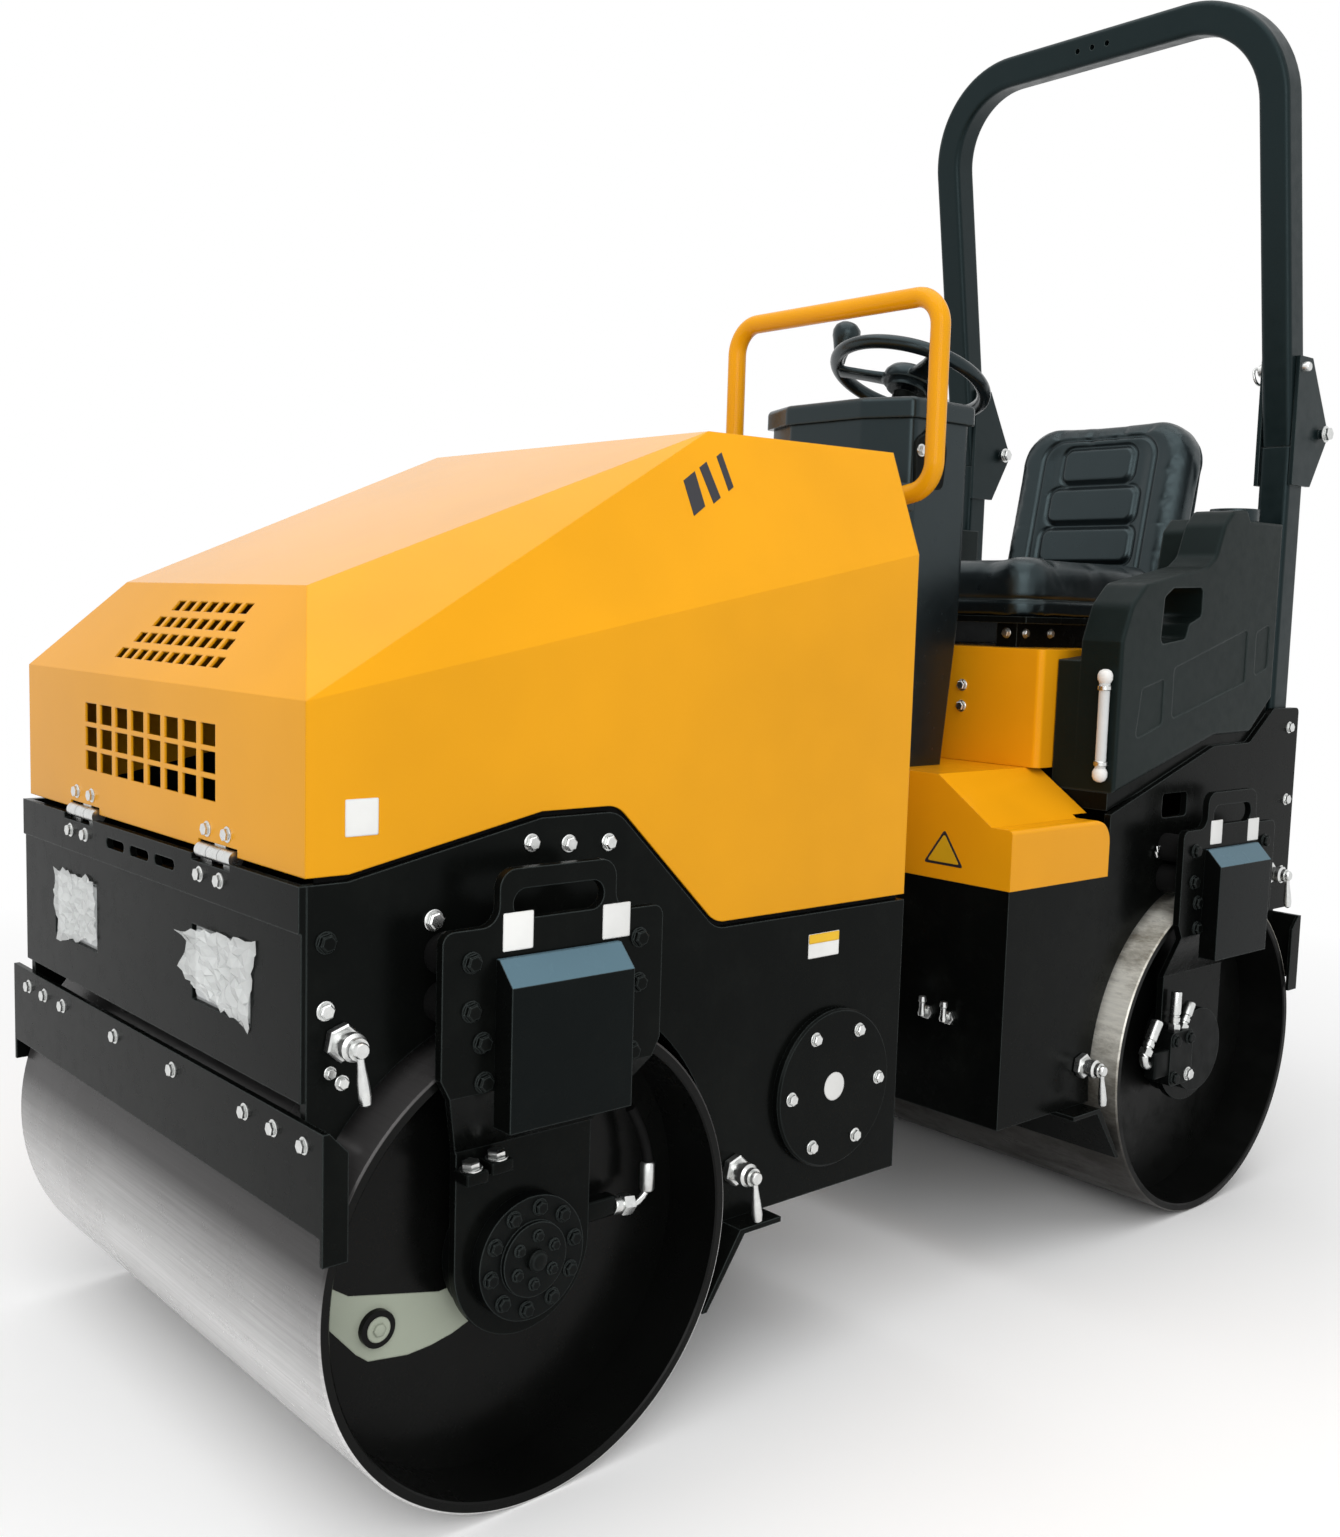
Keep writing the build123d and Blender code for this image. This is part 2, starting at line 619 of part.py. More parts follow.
def hinge_leaves(upper):
    """Hinge halves behind the hood and the panel: the lower one holds the pin and the outer knuckles."""
    leaves = []
    half = HINGE_LONG / 2
    knuckle = HINGE_LONG / 6
    for x in (-HINGE_X, HINGE_X):
        if upper:
            y0 = FRONT_FACE + HOOD_SHEET + SEAT_GAP
            leaf = slab(x - half, x + half, y0, y0 + 3, HINGE_Z + 14, HINGE_Z + 48)
            leaf += slab(x - knuckle + 1, x + knuckle - 1, y0, y0 + 3, HINGE_Z + 2, HINGE_Z + 15)
            leaf += rod_x(HINGE_R, x - knuckle + 1, x + knuckle - 1, HINGE_Y, HINGE_Z)
            leaf -= rod_x(HINGE_PIN_R + RUN_GAP, x - half, x + half, HINGE_Y, HINGE_Z)
        else:
            leaf = slab(x - half, x + half, FRONT_FACE, FRONT_FACE + 3, HINGE_Z - 46, HINGE_Z - 14)
            for end in (-1, 1):
                ends = (x + end * knuckle, x + end * half)
                leaf += slab(*ends, FRONT_FACE, FRONT_FACE + 3, HINGE_Z - 15, HINGE_Z - 2)
                leaf += rod_x(HINGE_R, x + end * knuckle, x + end * half, HINGE_Y, HINGE_Z)
            leaf += rod_x(HINGE_PIN_R, x - half, x + half, HINGE_Y, HINGE_Z)
        leaves.append(leaf)
    return leaves


# Centre joint
def yoke():
    low = LUG_LOW + LUG + 5
    high = LUG_HIGH - 5
    body = slab(-YOKE_HALF, YOKE_HALF, PIVOT_Y, PIVOT_Y + 85, low, high)
    body += rod_z(YOKE_HALF, low, high, 0, PIVOT_Y)
    body += rod_y(SHAFT_R, PIVOT_Y + 84, BEARING_REAR, 0, SHAFT_Z)
    body -= rod_z(PIN_R + RUN_GAP, low - 1, high + 1, 0, PIVOT_Y)
    for z in (CYLINDER_Z - EYE / 2 - 4 - PLATE, CYLINDER_Z + EYE / 2 + 4):
        points = [
            (YOKE_HALF - 2, PIVOT_Y + 20),
            (YOKE_HALF - 2, PIVOT_Y + 84),
            (ROD_PIN_X + 10, ROD_PIN_Y + 34),
            (ROD_PIN_X + 34, ROD_PIN_Y + 10),
            (ROD_PIN_X + 24, ROD_PIN_Y - 30),
        ]
        body += Pos(0, 0, z) * extrude(outline(points), PLATE)
    return body


def cylinder_line():
    run = Vector(ROD_PIN_X - BARREL_PIN_X, ROD_PIN_Y - BARREL_PIN_Y, 0)
    return run.length, run.normalized()


def cylinder_place(distance):
    """A frame on the cylinder's line, with its z axis along the rod."""
    _, way = cylinder_line()
    origin = Vector(BARREL_PIN_X, BARREL_PIN_Y, CYLINDER_Z) + way * distance
    return Plane(origin=origin, x_dir=(0, 0, 1), z_dir=way)


def eye(distance):
    _, way = cylinder_line()
    place = Vector(BARREL_PIN_X, BARREL_PIN_Y, CYLINDER_Z) + way * distance
    return rod_z(EYE_R, CYLINDER_Z - EYE / 2, CYLINDER_Z + EYE / 2, place.X, place.Y)


def barrel_span():
    """Where the barrel's tube starts, its bore starts and it ends, along the cylinder's line."""
    full, _ = cylinder_line()
    start = EYE_R + 6
    return start, start + 8, full - 152


def barrel():
    start, bore, end = barrel_span()
    base = (Align.CENTER, Align.CENTER, Align.MIN)
    body = eye(0) + cylinder_place(10) * Cylinder(EYE / 2 - 2, start, align=base)
    body += cylinder_place(start) * Cylinder(BARREL_R, end - start, align=base)
    body -= cylinder_place(bore) * Cylinder(ROD_R + RUN_GAP, end, align=base)
    low, high = CYLINDER_Z - EYE, CYLINDER_Z + EYE
    return body - rod_z(BARREL_STUD_R + RUN_GAP, low, high, BARREL_PIN_X, BARREL_PIN_Y)


def piston_rod():
    """The rod starts at mid-bore, which leaves half the bore for each way of steering."""
    full, _ = cylinder_line()
    _, bore, end = barrel_span()
    middle = (bore + end) / 2
    base = (Align.CENTER, Align.CENTER, Align.MIN)
    rod = cylinder_place(middle) * Cylinder(ROD_R, full - middle, align=base)
    return rod + eye(full)


# Rear body
def rear_frame():
    y = REAR_Y
    points = [
        (REAR_FACE, FRAME_BOTTOM),
        (REAR_FACE, PLATFORM_BOTTOM - SEAT_GAP),
        (PLATFORM_REAR + 2, PLATFORM_BOTTOM - SEAT_GAP),
        (PLATFORM_REAR + 2, DRUM_TOP + 153),
        (y + 27, DRUM_TOP + 256),
        (y + 152, DRUM_TOP + 258),
        (y + 235, DRUM_TOP + 319),
        (y + TAIL_REACH, DRUM_TOP + 319),
        (y + TAIL_REACH, FRAME_BOTTOM),
    ]
    rounds = [(points[4], 40), (points[5], 20), (points[6], 12), (points[7], 10)]
    side = side_holes(across(outline(points, rounds), FRAME_IN, FRAME_HALF), y, 1)
    side = side.solids().sort_by(SortBy.VOLUME)[-1]
    side -= slab(0, DRUM_WIDTH, y + FACE_REACH, y + TAIL_REACH + 10, 0, BAR_TOP + 4)
    side -= across(Pos(y - 95, DRUM_TOP + 158) * RectangleRounded(80, 42, 8), 0, DRUM_WIDTH)
    inner = FRAME_IN + 1
    body = side + flip(side)
    body += slab(-inner, inner, REAR_FACE, REAR_FACE + PLATE, FRAME_BOTTOM, PLATFORM_BOTTOM - SEAT_GAP)
    body += slab(-inner, inner, REAR_FACE, y + TAIL_REACH, DECK_UNDER - 20, DECK_TOP - 20)
    body += slab(-inner, inner, REAR_FACE, FLOOR_REAR, FRAME_BOTTOM, FRAME_BOTTOM + PLATE)
    body += slab(-inner, inner, y + TAIL_REACH - PLATE, y + TAIL_REACH, BAR_TOP + 5, DRUM_TOP + 300)
    shelf = tank_under(-SEAT_GAP) + tank_under(-30)[::-1]
    ledge = across(outline(shelf, [(shelf[1], 40)]), TANK_IN + 4, inner)
    body += ledge
    body += flip(ledge)
    body += rod_y(BEARING_R, REAR_FACE - 55, BEARING_REAR, 0, SHAFT_Z)
    return body - rod_y(SHAFT_R + RUN_GAP, REAR_FACE - 60, BEARING_REAR + 10, 0, SHAFT_Z)


def platform():
    edge = FRAME_HALF + 2

    def form(t):
        points = [
            (edge - t, PLATFORM_BOTTOM - t),
            (edge - t, STEP_TOP - t),
            (edge - 40, STEP_TOP - t),
            (edge - 150, PLATFORM_TOP - t),
            (-edge + 150, PLATFORM_TOP - t),
            (-edge + 40, STEP_TOP - t),
            (-edge + t, STEP_TOP - t),
            (-edge + t, PLATFORM_BOTTOM - t),
        ]
        return along(outline(points, [(points[1], 8), (points[6], 8)]), REAR_FACE - 2 + t, PLATFORM_REAR + t)

    body = form(0) - form(SHEET)
    corner = [
        (PLATFORM_REAR - 40, STEP_TOP - 40),
        (PLATFORM_REAR + 5, STEP_TOP - 40),
        (PLATFORM_REAR + 5, STEP_TOP + 5),
        (PLATFORM_REAR - 40, STEP_TOP + 5),
    ]
    trim = outline(corner) - Pos(PLATFORM_REAR - 40, STEP_TOP - 40) * Circle(40)
    return body - across(trim, edge - 60, edge + 5) - across(trim, -edge - 5, -edge + 60)


def pedestal():
    low = PLATFORM_TOP + SEAT_GAP
    body = slab(-PEDESTAL_HALF, PEDESTAL_HALF, PEDESTAL_FRONT, PEDESTAL_REAR, low, PEDESTAL_TOP)
    body = fillet(body.edges().filter_by(Axis.Z), 12)
    half = PEDESTAL_HALF - SHEET
    ends = (PEDESTAL_FRONT + SHEET, PEDESTAL_REAR - SHEET)
    return body - slab(-half, half, *ends, low - 5, PEDESTAL_TOP - SHEET)


def seat_rails():
    low = PEDESTAL_TOP + SEAT_GAP
    high = CUSHION_BOTTOM - SEAT_GAP
    rails = [slab(side * 150 - 22, side * 150 + 22, CUSHION_FRONT + 40, CUSHION_REAR - 10, low, high - 10)
             for side in (-1, 1)]
    pan = slab(-SEAT_HALF + 20, SEAT_HALF - 20, CUSHION_FRONT + 20, CUSHION_REAR + 86, high - 12, high)
    return rails[0] + rails[1] + pan


def cushion():
    body = slab(-SEAT_HALF, SEAT_HALF, CUSHION_FRONT, CUSHION_REAR, CUSHION_BOTTOM, CUSHION_TOP)
    body = fillet(body.edges().filter_by(Axis.Z), 60)
    return fillet(body.edges().group_by(Axis.Z)[-1], 30)


def seat_back():
    foot = CUSHION_BOTTOM + 85 * sin(radians(BACK_LEAN))
    body = slab(-SEAT_HALF + 10, SEAT_HALF - 10, 0, 85, 0, BACK_TOP - foot)
    body = fillet(body.edges().filter_by(Axis.Y).group_by(Axis.Z)[-1], 90)
    body = fillet(body.edges().filter_by(Axis.Z), 30)
    return Pos(0, CUSHION_REAR + SEAT_GAP + 2, foot) * Rot(-BACK_LEAN, 0, 0) * body


def tank_under(rise):
    """The stepped underside of a water tank from front to rear, moved up by rise."""
    points = [
        (REAR_Y - 288, DRUM_TOP + 188),
        (REAR_Y + 27, DRUM_TOP + 276),
        (REAR_Y + 150, DRUM_TOP + 278),
        (TANK_REAR, DRUM_TOP + 340),
    ]
    return [(y, z + rise) for y, z in points]


def water_tank():
    y = REAR_Y
    under = tank_under(0)
    armrest = [
        (TANK_REAR, TANK_TOP),
        (y + 104, TANK_TOP),
        (y + 92, TANK_TOP + 18),
        (y + 44, TANK_TOP + 14),
        (y + 16, TANK_TOP - 12),
        (y - 8, DRUM_TOP + 590),
        (y - 36, DRUM_TOP + 572),
        (y - 222, DRUM_TOP + 537),
        (y - 262, DRUM_TOP + 500),
        (y - 286, DRUM_TOP + 440),
    ]
    rounds = [(under[1], 40), (under[2], 20), (armrest[2], 8)]
    rounds += [(p, 25) for p in armrest[3:7]] + [(armrest[7], 40), (armrest[8], 40)]
    inner_x = FRAME_HALF - 78
    body = across(outline(under + armrest, rounds), inner_x, FRAME_HALF)
    low = [(TANK_REAR, TANK_TOP), (y + 40, TANK_TOP), (y + 16, TANK_TOP - 22)]
    low += [(y - 22, DRUM_TOP + 430), (y - 286, DRUM_TOP + 406)]
    body += across(outline(under + low, [(under[1], 40), (low[2], 20), (low[3], 40)]), TANK_IN, inner_x + 1)
    grip = outline([(y + gy, DRUM_TOP + gz) for gy, gz in TANK_GRIP])
    body -= across(fillet(grip.vertices(), 10), TANK_IN - 5, FRAME_HALF + 5)
    face = body.faces().filter_by(Axis.X).sort_by(Axis.X)[-1]
    body = fillet(face.outer_wire().edges(), 6)
    for panel in TANK_PANELS:
        sunk = outline([(y + py, DRUM_TOP + pz) for py, pz in panel])
        body -= across(fillet(sunk.vertices(), 8), FRAME_HALF - 2, FRAME_HALF + 1)
    return body


def tank_cap(side):
    x = side * (TANK_IN + FRAME_HALF) / 2
    return rod_z(CAP_R, TANK_TOP + SEAT_GAP, TANK_TOP + 24, x, CAP_Y)


def sight_tube():
    return rod_z(9, DRUM_TOP + 215, DRUM_TOP + 385, FRAME_HALF - 22, REAR_Y - 288 - SEAT_GAP - 9)


def console_plan(inset, low, high):
    """The console's plan with a bowed front, drawn in by inset and raised from low to high."""
    half = CONSOLE_HALF - inset
    front = CONSOLE_FRONT + inset
    rear = CONSOLE_REAR - inset
    points = [
        (-half / 2, front),
        (half / 2, front),
        (half, front + 36),
        (half, rear),
        (-half, rear),
        (-half, front + 36),
    ]
    return Pos(0, 0, low) * extrude(outline(points, [(p, 16) for p in points]), high - low)


def console():
    low = PLATFORM_TOP + SEAT_GAP
    top = CONSOLE_TOP - LID
    points = [
        (REAR_FACE + 12, low),
        (CONSOLE_REAR - 50, low),
        (CONSOLE_REAR, top - 150),
        (CONSOLE_REAR, top),
        (CONSOLE_FRONT, top),
        (CONSOLE_FRONT, top - 190),
        (REAR_FACE + 12, top - 330),
    ]
    body = console_plan(8, low, top) & across(outline(points), -CONSOLE_HALF, CONSOLE_HALF)
    for side in (-1, 1):
        edge = side * (CONSOLE_HALF - 8)
        foot = (RAIL_FOOT - 22, RAIL_FOOT + 22)
        body += slab(edge - side * 60, edge + side * 2, RAIL_Y - 22, RAIL_Y + 32, *foot)
    return body - column_hole()


def console_lid():
    body = console_plan(0, CONSOLE_TOP - LID + SEAT_GAP, CONSOLE_TOP)
    return fillet(body.edges().group_by(Axis.Z)[-1], 10) - column_hole()


def wheel_place(height):
    """A frame on the steering column's axis, which leans back, at a height above the wheel's centre."""
    lean = radians(COLUMN_TILT)
    origin = (0, WHEEL_Y + height * sin(lean), WHEEL_Z + height * cos(lean))
    return Plane(origin=origin, x_dir=(1, 0, 0), z_dir=(0, sin(lean), cos(lean)))


def column_hole():
    return wheel_place(-30 - COLUMN_LONG - SEAT_GAP) * Cylinder(
        COLUMN_R + SEAT_GAP, COLUMN_LONG, align=(Align.CENTER, Align.CENTER, Align.MIN))


def column():
    base = (Align.CENTER, Align.CENTER, Align.MIN)
    post = wheel_place(-30 - COLUMN_LONG) * Cylinder(COLUMN_R, COLUMN_LONG, align=base)
    return post + wheel_place(-32) * Cylinder(COLUMN_R / 2, 34, align=base)


def steering_wheel():
    rim = wheel_place(0) * Torus(WHEEL_R, WHEEL_RIM_R)
    hub_base = (Align.CENTER, Align.CENTER, Align.MIN)
    body = rim + wheel_place(-24) * Cylinder(WHEEL_HUB_R, 34, align=hub_base)
    for turn in (90, 210, 330):
        spoke = Rot(0, 0, turn) * Pos(WHEEL_R / 2, 0, 0) * Box(WHEEL_R, 26, 10)
        body += wheel_place(-6) * spoke
    body -= wheel_place(-30) * Cylinder(COLUMN_R / 2 + RUN_GAP, 33, align=hub_base)
    knob_turn = radians(215)
    knob = wheel_place(0) * Pos(WHEEL_R * cos(knob_turn), WHEEL_R * sin(knob_turn), 0)
    body += knob * Cylinder(11, 50, align=hub_base)
    return body + knob * Pos(0, 0, 58) * Sphere(21)


def grab_rail():
    bend = 50
    foot = CONSOLE_HALF - 6 + SEAT_GAP
    points = [
        (-foot, RAIL_Y, RAIL_FOOT),
        (-RAIL_HALF, RAIL_Y, RAIL_FOOT + 12),
        (-RAIL_HALF, RAIL_Y, RAIL_TOP),
        (RAIL_HALF, RAIL_Y, RAIL_TOP),
        (RAIL_HALF, RAIL_Y, RAIL_FOOT + 12),
        (foot, RAIL_Y, RAIL_FOOT),
    ]
    path = FilletPolyline(*points, radius=bend)
    start = Plane(origin=path @ 0, z_dir=path % 0)
    rail = sweep(start * Circle(RAIL_R), path=path)
    return rail - slab(-foot, foot, RAIL_Y - 60, RAIL_Y + 60, RAIL_FOOT - 60, RAIL_FOOT + 60)


# Roll bar
def square_tube(size):
    return RectangleRounded(size, size, TUBE_ROUND)


def rops_post():
    x = POST_OUT - TUBE / 2
    post = Pos(x, POST_Y, POST_BOTTOM) * extrude(square_tube(TUBE), POST_TOP - POST_BOTTOM)
    ear = [
        (POST_Y - TUBE / 2, POST_TOP - 70),
        (POST_Y - TUBE / 2, POST_TOP + 165),
        (POST_Y + TUBE / 2 - 12, POST_TOP + 165),
        (FOLD_Y + 22, FOLD_Z + 18),
        (FOLD_Y + 22, FOLD_Z - 18),
        (POST_Y + TUBE / 2 + 8, POST_TOP - 70),
    ]
    plate = outline(ear) + Pos(FOLD_Y, FOLD_Z) * Circle(EAR_R)
    ears = across(plate, x - TUBE / 2 - EAR, x - TUBE / 2) + across(plate, x + TUBE / 2, x + TUBE / 2 + EAR)
    pin = rod_x(FOLD_PIN_R, x - TUBE / 2 - EAR - 10, x + TUBE / 2 + EAR + 10, FOLD_Y, FOLD_Z)
    return post + ears + pin


def rops_hoop():
    leg_width = TUBE - 2 * EAR_GAP
    x = POST_OUT - TUBE / 2
    foot = POST_TOP + 6
    rise = (HOOP_TOP - TUBE / 2 - foot) / cos(radians(HOOP_LEAN))
    path = FilletPolyline((-x, 0, 0), (-x, 0, rise), (x, 0, rise), (x, 0, 0), radius=HOOP_BEND)
    hoop = sweep(Pos(-x, 0, 0) * RectangleRounded(leg_width, leg_width, TUBE_ROUND), path=path)
    for hole_x in HOOP_HOLE_X:
        hoop -= rod_y(HOOP_HOLE_R, -leg_width, HOOP_HOLE_DEEP - leg_width / 2, hole_x, rise)
    hoop = Pos(0, POST_Y, foot) * Rot(HOOP_LEAN, 0, 0) * hoop
    for side in (-1, 1):
        knuckle = [
            (POST_Y - 10, FOLD_Z - 14),
            (POST_Y - 10, FOLD_Z + 60),
            (POST_Y + 26, FOLD_Z + 60),
            (FOLD_Y + 14, FOLD_Z + 14),
            (FOLD_Y + 14, FOLD_Z - 14),
        ]
        web = across(outline(knuckle), side * x - leg_width / 2, side * x + leg_width / 2)
        web += rod_x(EAR_R - 6, side * x - leg_width / 2, side * x + leg_width / 2, FOLD_Y, FOLD_Z)
        hoop += web
    hoop -= rod_x(FOLD_PIN_R + RUN_GAP, -DRUM_WIDTH, DRUM_WIDTH, FOLD_Y, FOLD_Z)
    return hoop


# Every node by name
def front_nodes():
    return {
        "front_frame": front_frame(),
        "pivot_pin": pivot_pin(),
        "front_panel": front_panel(),
        "headlamps": solids_of(headlamps()),
        "hood_hinges_lower": solids_of(hinge_leaves(False)),
        "engine_block": engine(),
        "tank_cover": tank_cover(),
        "hood": hood(),
        "hood_hinges_upper": solids_of(hinge_leaves(True)),
    }


def drum_nodes(name, axle, out):
    """The drum of one end and all that carries, cleans and wets it."""
    left_hub = hub(axle, -MOTOR_SHIFT if out > 0 else None)
    right_hub = flip(hub(axle, MOTOR_SHIFT if out < 0 else None))
    return {
        f"{name}_drum": drum(axle),
        f"{name}_arms": solids_of(pair(arm(axle))),
        f"{name}_arm_covers": solids_of(pair(arm_cover(axle))),
        f"{name}_buffers": solids_of(buffers(axle), [flip(b) for b in buffers(axle)]),
        f"{name}_hubs": solids_of(left_hub, right_hub),
        f"{name}_scraper_outer": scraper_outer(axle, out),
        f"{name}_scraper_inner": scraper_inner(axle, out),
        f"{name}_spray_bars": solids_of(spray_bars(axle, out)),
    }


def centre_nodes():
    return {
        "centre_yoke": yoke(),
        "steering_barrel": barrel(),
        "steering_rod": piston_rod(),
    }


def rear_nodes():
    tank = water_tank()
    return {
        "rear_frame": rear_frame(),
        "platform": platform(),
        "seat_pedestal": pedestal(),
        "seat_rails": seat_rails(),
        "seat_cushion": cushion(),
        "seat_back": seat_back(),
        "water_tank_left": tank,
        "water_tank_right": flip(tank),
        "tank_caps": solids_of(tank_cap(1), tank_cap(-1)),
        "sight_tube": sight_tube(),
        "console": console(),
        "console_lid": console_lid(),
        "steering_column": column(),
        "steering_wheel": steering_wheel(),
        "grab_rail": grab_rail(),
        "rops_posts": solids_of(pair(rops_post())),
        "rops_hoop": rops_hoop(),
    }


os.makedirs("parts", exist_ok=True)
nodes = {
    **front_nodes(),
    **drum_nodes("front", FRONT_Y, -1),
    **centre_nodes(),
    **rear_nodes(),
    **drum_nodes("rear", REAR_Y, 1),
}
for name, shape in nodes.items():
    export_step(shape, f"parts/{name}.step")
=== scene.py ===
import math
import random

import bmesh
import bpy
from mathutils import Matrix, Vector


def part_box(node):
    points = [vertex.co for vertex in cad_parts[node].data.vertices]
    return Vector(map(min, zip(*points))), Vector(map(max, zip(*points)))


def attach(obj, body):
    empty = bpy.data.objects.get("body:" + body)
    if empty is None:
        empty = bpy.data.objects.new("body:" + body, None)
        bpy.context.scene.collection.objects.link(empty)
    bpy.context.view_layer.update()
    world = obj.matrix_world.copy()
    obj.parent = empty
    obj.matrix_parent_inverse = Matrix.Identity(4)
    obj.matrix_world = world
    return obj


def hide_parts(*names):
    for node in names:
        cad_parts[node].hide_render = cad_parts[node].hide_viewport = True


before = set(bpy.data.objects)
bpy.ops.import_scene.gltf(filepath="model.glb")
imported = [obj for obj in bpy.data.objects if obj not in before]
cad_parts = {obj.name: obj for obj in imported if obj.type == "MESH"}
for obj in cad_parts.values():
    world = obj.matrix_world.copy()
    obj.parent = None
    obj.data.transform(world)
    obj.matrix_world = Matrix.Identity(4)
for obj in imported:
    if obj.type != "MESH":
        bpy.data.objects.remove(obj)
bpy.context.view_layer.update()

# Places in metres, taken from the frame's own nodes
FRONT_LO, FRONT_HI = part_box("front_drum")
REAR_LO, REAR_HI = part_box("rear_drum")
F = (FRONT_LO.y + FRONT_HI.y) / 2
R = (REAR_LO.y + REAR_HI.y) / 2
AXLE_Z = (FRONT_LO.z + FRONT_HI.z) / 2
DRUM_R = (FRONT_HI.z - FRONT_LO.z) / 2
SIDE_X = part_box("front_frame")[1].x
ARM_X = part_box("front_arms")[1].x
FACE_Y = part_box("hood")[0].y
BAR_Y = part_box("front_scraper_outer")[0].y
LIP_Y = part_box("front_panel")[0].y
PANEL_Y = LIP_Y + 0.003  # behind the panel's lips
COVER_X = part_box("tank_cover")[1].x
COVER_Y = F + 0.524
COVER_Z = AXLE_Z + 0.105
HOOD_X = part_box("hood")[1].x
PEDESTAL_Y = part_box("seat_pedestal")[0].y
PLATFORM_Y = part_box("platform")[0].y
REAR_PLATE_Y = PLATFORM_Y + 0.002  # the rear frame's front plate, under the platform
BOSS_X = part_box("front_hubs")[1].x
FLANGE_X = BOSS_X - 0.006  # the hub's flange, behind its boss
LOW_ARM_X = BOSS_X - 0.0243  # the stepped-in lower part of an arm
MOTOR_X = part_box("rear_hubs")[1].x
MOTOR_SHIFT = 0.075  # from the axle to the motor's middle
DISC_X = FRONT_HI.x - 0.09  # the recessed end discs
CUSHION_LO, CUSHION_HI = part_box("seat_cushion")


# Material nodes
class Nodes:
    """Builds a node tree a step at a time."""

    def __init__(self, name):
        self.mat = bpy.data.materials.new(name)
        self.mat.use_nodes = True
        self.tree = self.mat.node_tree
        self.bsdf = self.tree.nodes["Principled BSDF"]
        self.coords = None

    def add(self, kind, **values):
        node = self.tree.nodes.new(kind)
        for key, value in values.items():
            if key in node.inputs:
                node.inputs[key].default_value = value
            else:
                setattr(node, key, value)
        return node

    def link(self, out, into):
        self.tree.links.new(out, into)

    def place(self):
        if self.coords is None:
            self.coords = self.add("ShaderNodeTexCoord")
        return self.coords.outputs["Object"]

    def noise(self, scale, detail=4.0, rough=0.55, stretch=None):
        node = self.add("ShaderNodeTexNoise", Scale=scale, Detail=detail, Roughness=rough)
        source = self.place()
        if stretch:
            mapping = self.add("ShaderNodeMapping", Scale=stretch)
            self.link(source, mapping.inputs["Vector"])
            source = mapping.outputs["Vector"]
        self.link(source, node.inputs["Vector"])
        return node.outputs["Fac"]

    def cells(self, scale, feature="F1"):
        node = self.add("ShaderNodeTexVoronoi", Scale=scale, feature=feature)
        self.link(self.place(), node.inputs["Vector"])
        return node.outputs["Distance"]

    def reach(self, centre, squash=(1, 1, 1)):
        """Distance from a point, with each axis scaled by squash first."""
        source = self.place()
        for operation, value in (("SUBTRACT", centre), ("MULTIPLY", squash)):
            node = self.add("ShaderNodeVectorMath", operation=operation)
            node.inputs[1].default_value = value
            self.link(source, node.inputs[0])
            source = node.outputs[0]
        length = self.add("ShaderNodeVectorMath", operation="LENGTH")
        self.link(source, length.inputs[0])
        return length.outputs["Value"]

    def plus(self, a, b):
        node = self.add("ShaderNodeMath", operation="ADD")
        self.link(a, node.inputs[0])
        self.link(b, node.inputs[1])
        return node.outputs["Value"]

    def feed(self, value, socket):
        if isinstance(value, bpy.types.NodeSocket):
            self.link(value, socket)
        else:
            socket.default_value = value if isinstance(value, float) else (*value, 1)

    def ramp(self, fac, stops):
        node = self.add("ShaderNodeValToRGB")
        elements = node.color_ramp.elements
        while len(elements) < len(stops):
            elements.new(0.5)
        for element, (at, colour) in zip(elements, stops):
            element.position = at
            element.color = (*colour, 1)
        self.link(fac, node.inputs["Fac"])
        return node.outputs["Color"]

    def span(self, fac, low, high, from_low=0.3, from_high=0.7):
        ends = {"From Min": from_low, "From Max": from_high, "To Min": low, "To Max": high}
        node = self.add("ShaderNodeMapRange", **ends)
        self.link(fac, node.inputs["Value"])
        return node.outputs["Result"]

    def mix(self, fac, a, b):
        node = self.add("ShaderNodeMix", data_type="RGBA")
        colour_a, colour_b = [s for s in node.inputs if s.type == "RGBA"]
        for value, socket in ((fac, node.inputs[0]), (a, colour_a), (b, colour_b)):
            self.feed(value, socket)
        return [s for s in node.outputs if s.type == "RGBA"][0]

    def bump(self, height, strength, distance=0.001, edge=None):
        """Surface relief; edge is the radius that sharp edges seem rounded to."""
        node = self.add("ShaderNodeBump", Strength=strength, Distance=distance)
        self.link(height, node.inputs["Height"])
        if edge:
            rounded = self.add("ShaderNodeBevel", Radius=edge, samples=4)
            self.link(rounded.outputs["Normal"], node.inputs["Normal"])
        return node.outputs["Normal"]

    def edges(self, radius):
        """How near the surface is to a sharp edge, from 0 to 1."""
        rounded = self.add("ShaderNodeBevel", Radius=radius, samples=4)
        both_ways = self.add("ShaderNodeVectorMath", operation="DOT_PRODUCT")
        self.link(rounded.outputs["Normal"], both_ways.inputs[0])
        self.link(self.add("ShaderNodeNewGeometry").outputs["True Normal"], both_ways.inputs[1])
        return self.span(both_ways.outputs["Value"], 1.0, 0.0, 0.80, 0.985)

    def upward(self, low, high):
        """How far the surface faces up: 0 below one height of its normal, 1 above the other."""
        split = self.add("ShaderNodeSeparateXYZ")
        self.link(self.add("ShaderNodeNewGeometry").outputs["True Normal"], split.inputs[0])
        return self.span(split.outputs["Z"], 0.0, 1.0, low, high)

    def wire(self, **sockets):
        for key, socket in sockets.items():
            self.link(socket, self.bsdf.inputs[key.replace("_", " ")])

    def set(self, **values):
        for key, value in values.items():
            self.bsdf.inputs[key.replace("_", " ")].default_value = value
        return self.mat


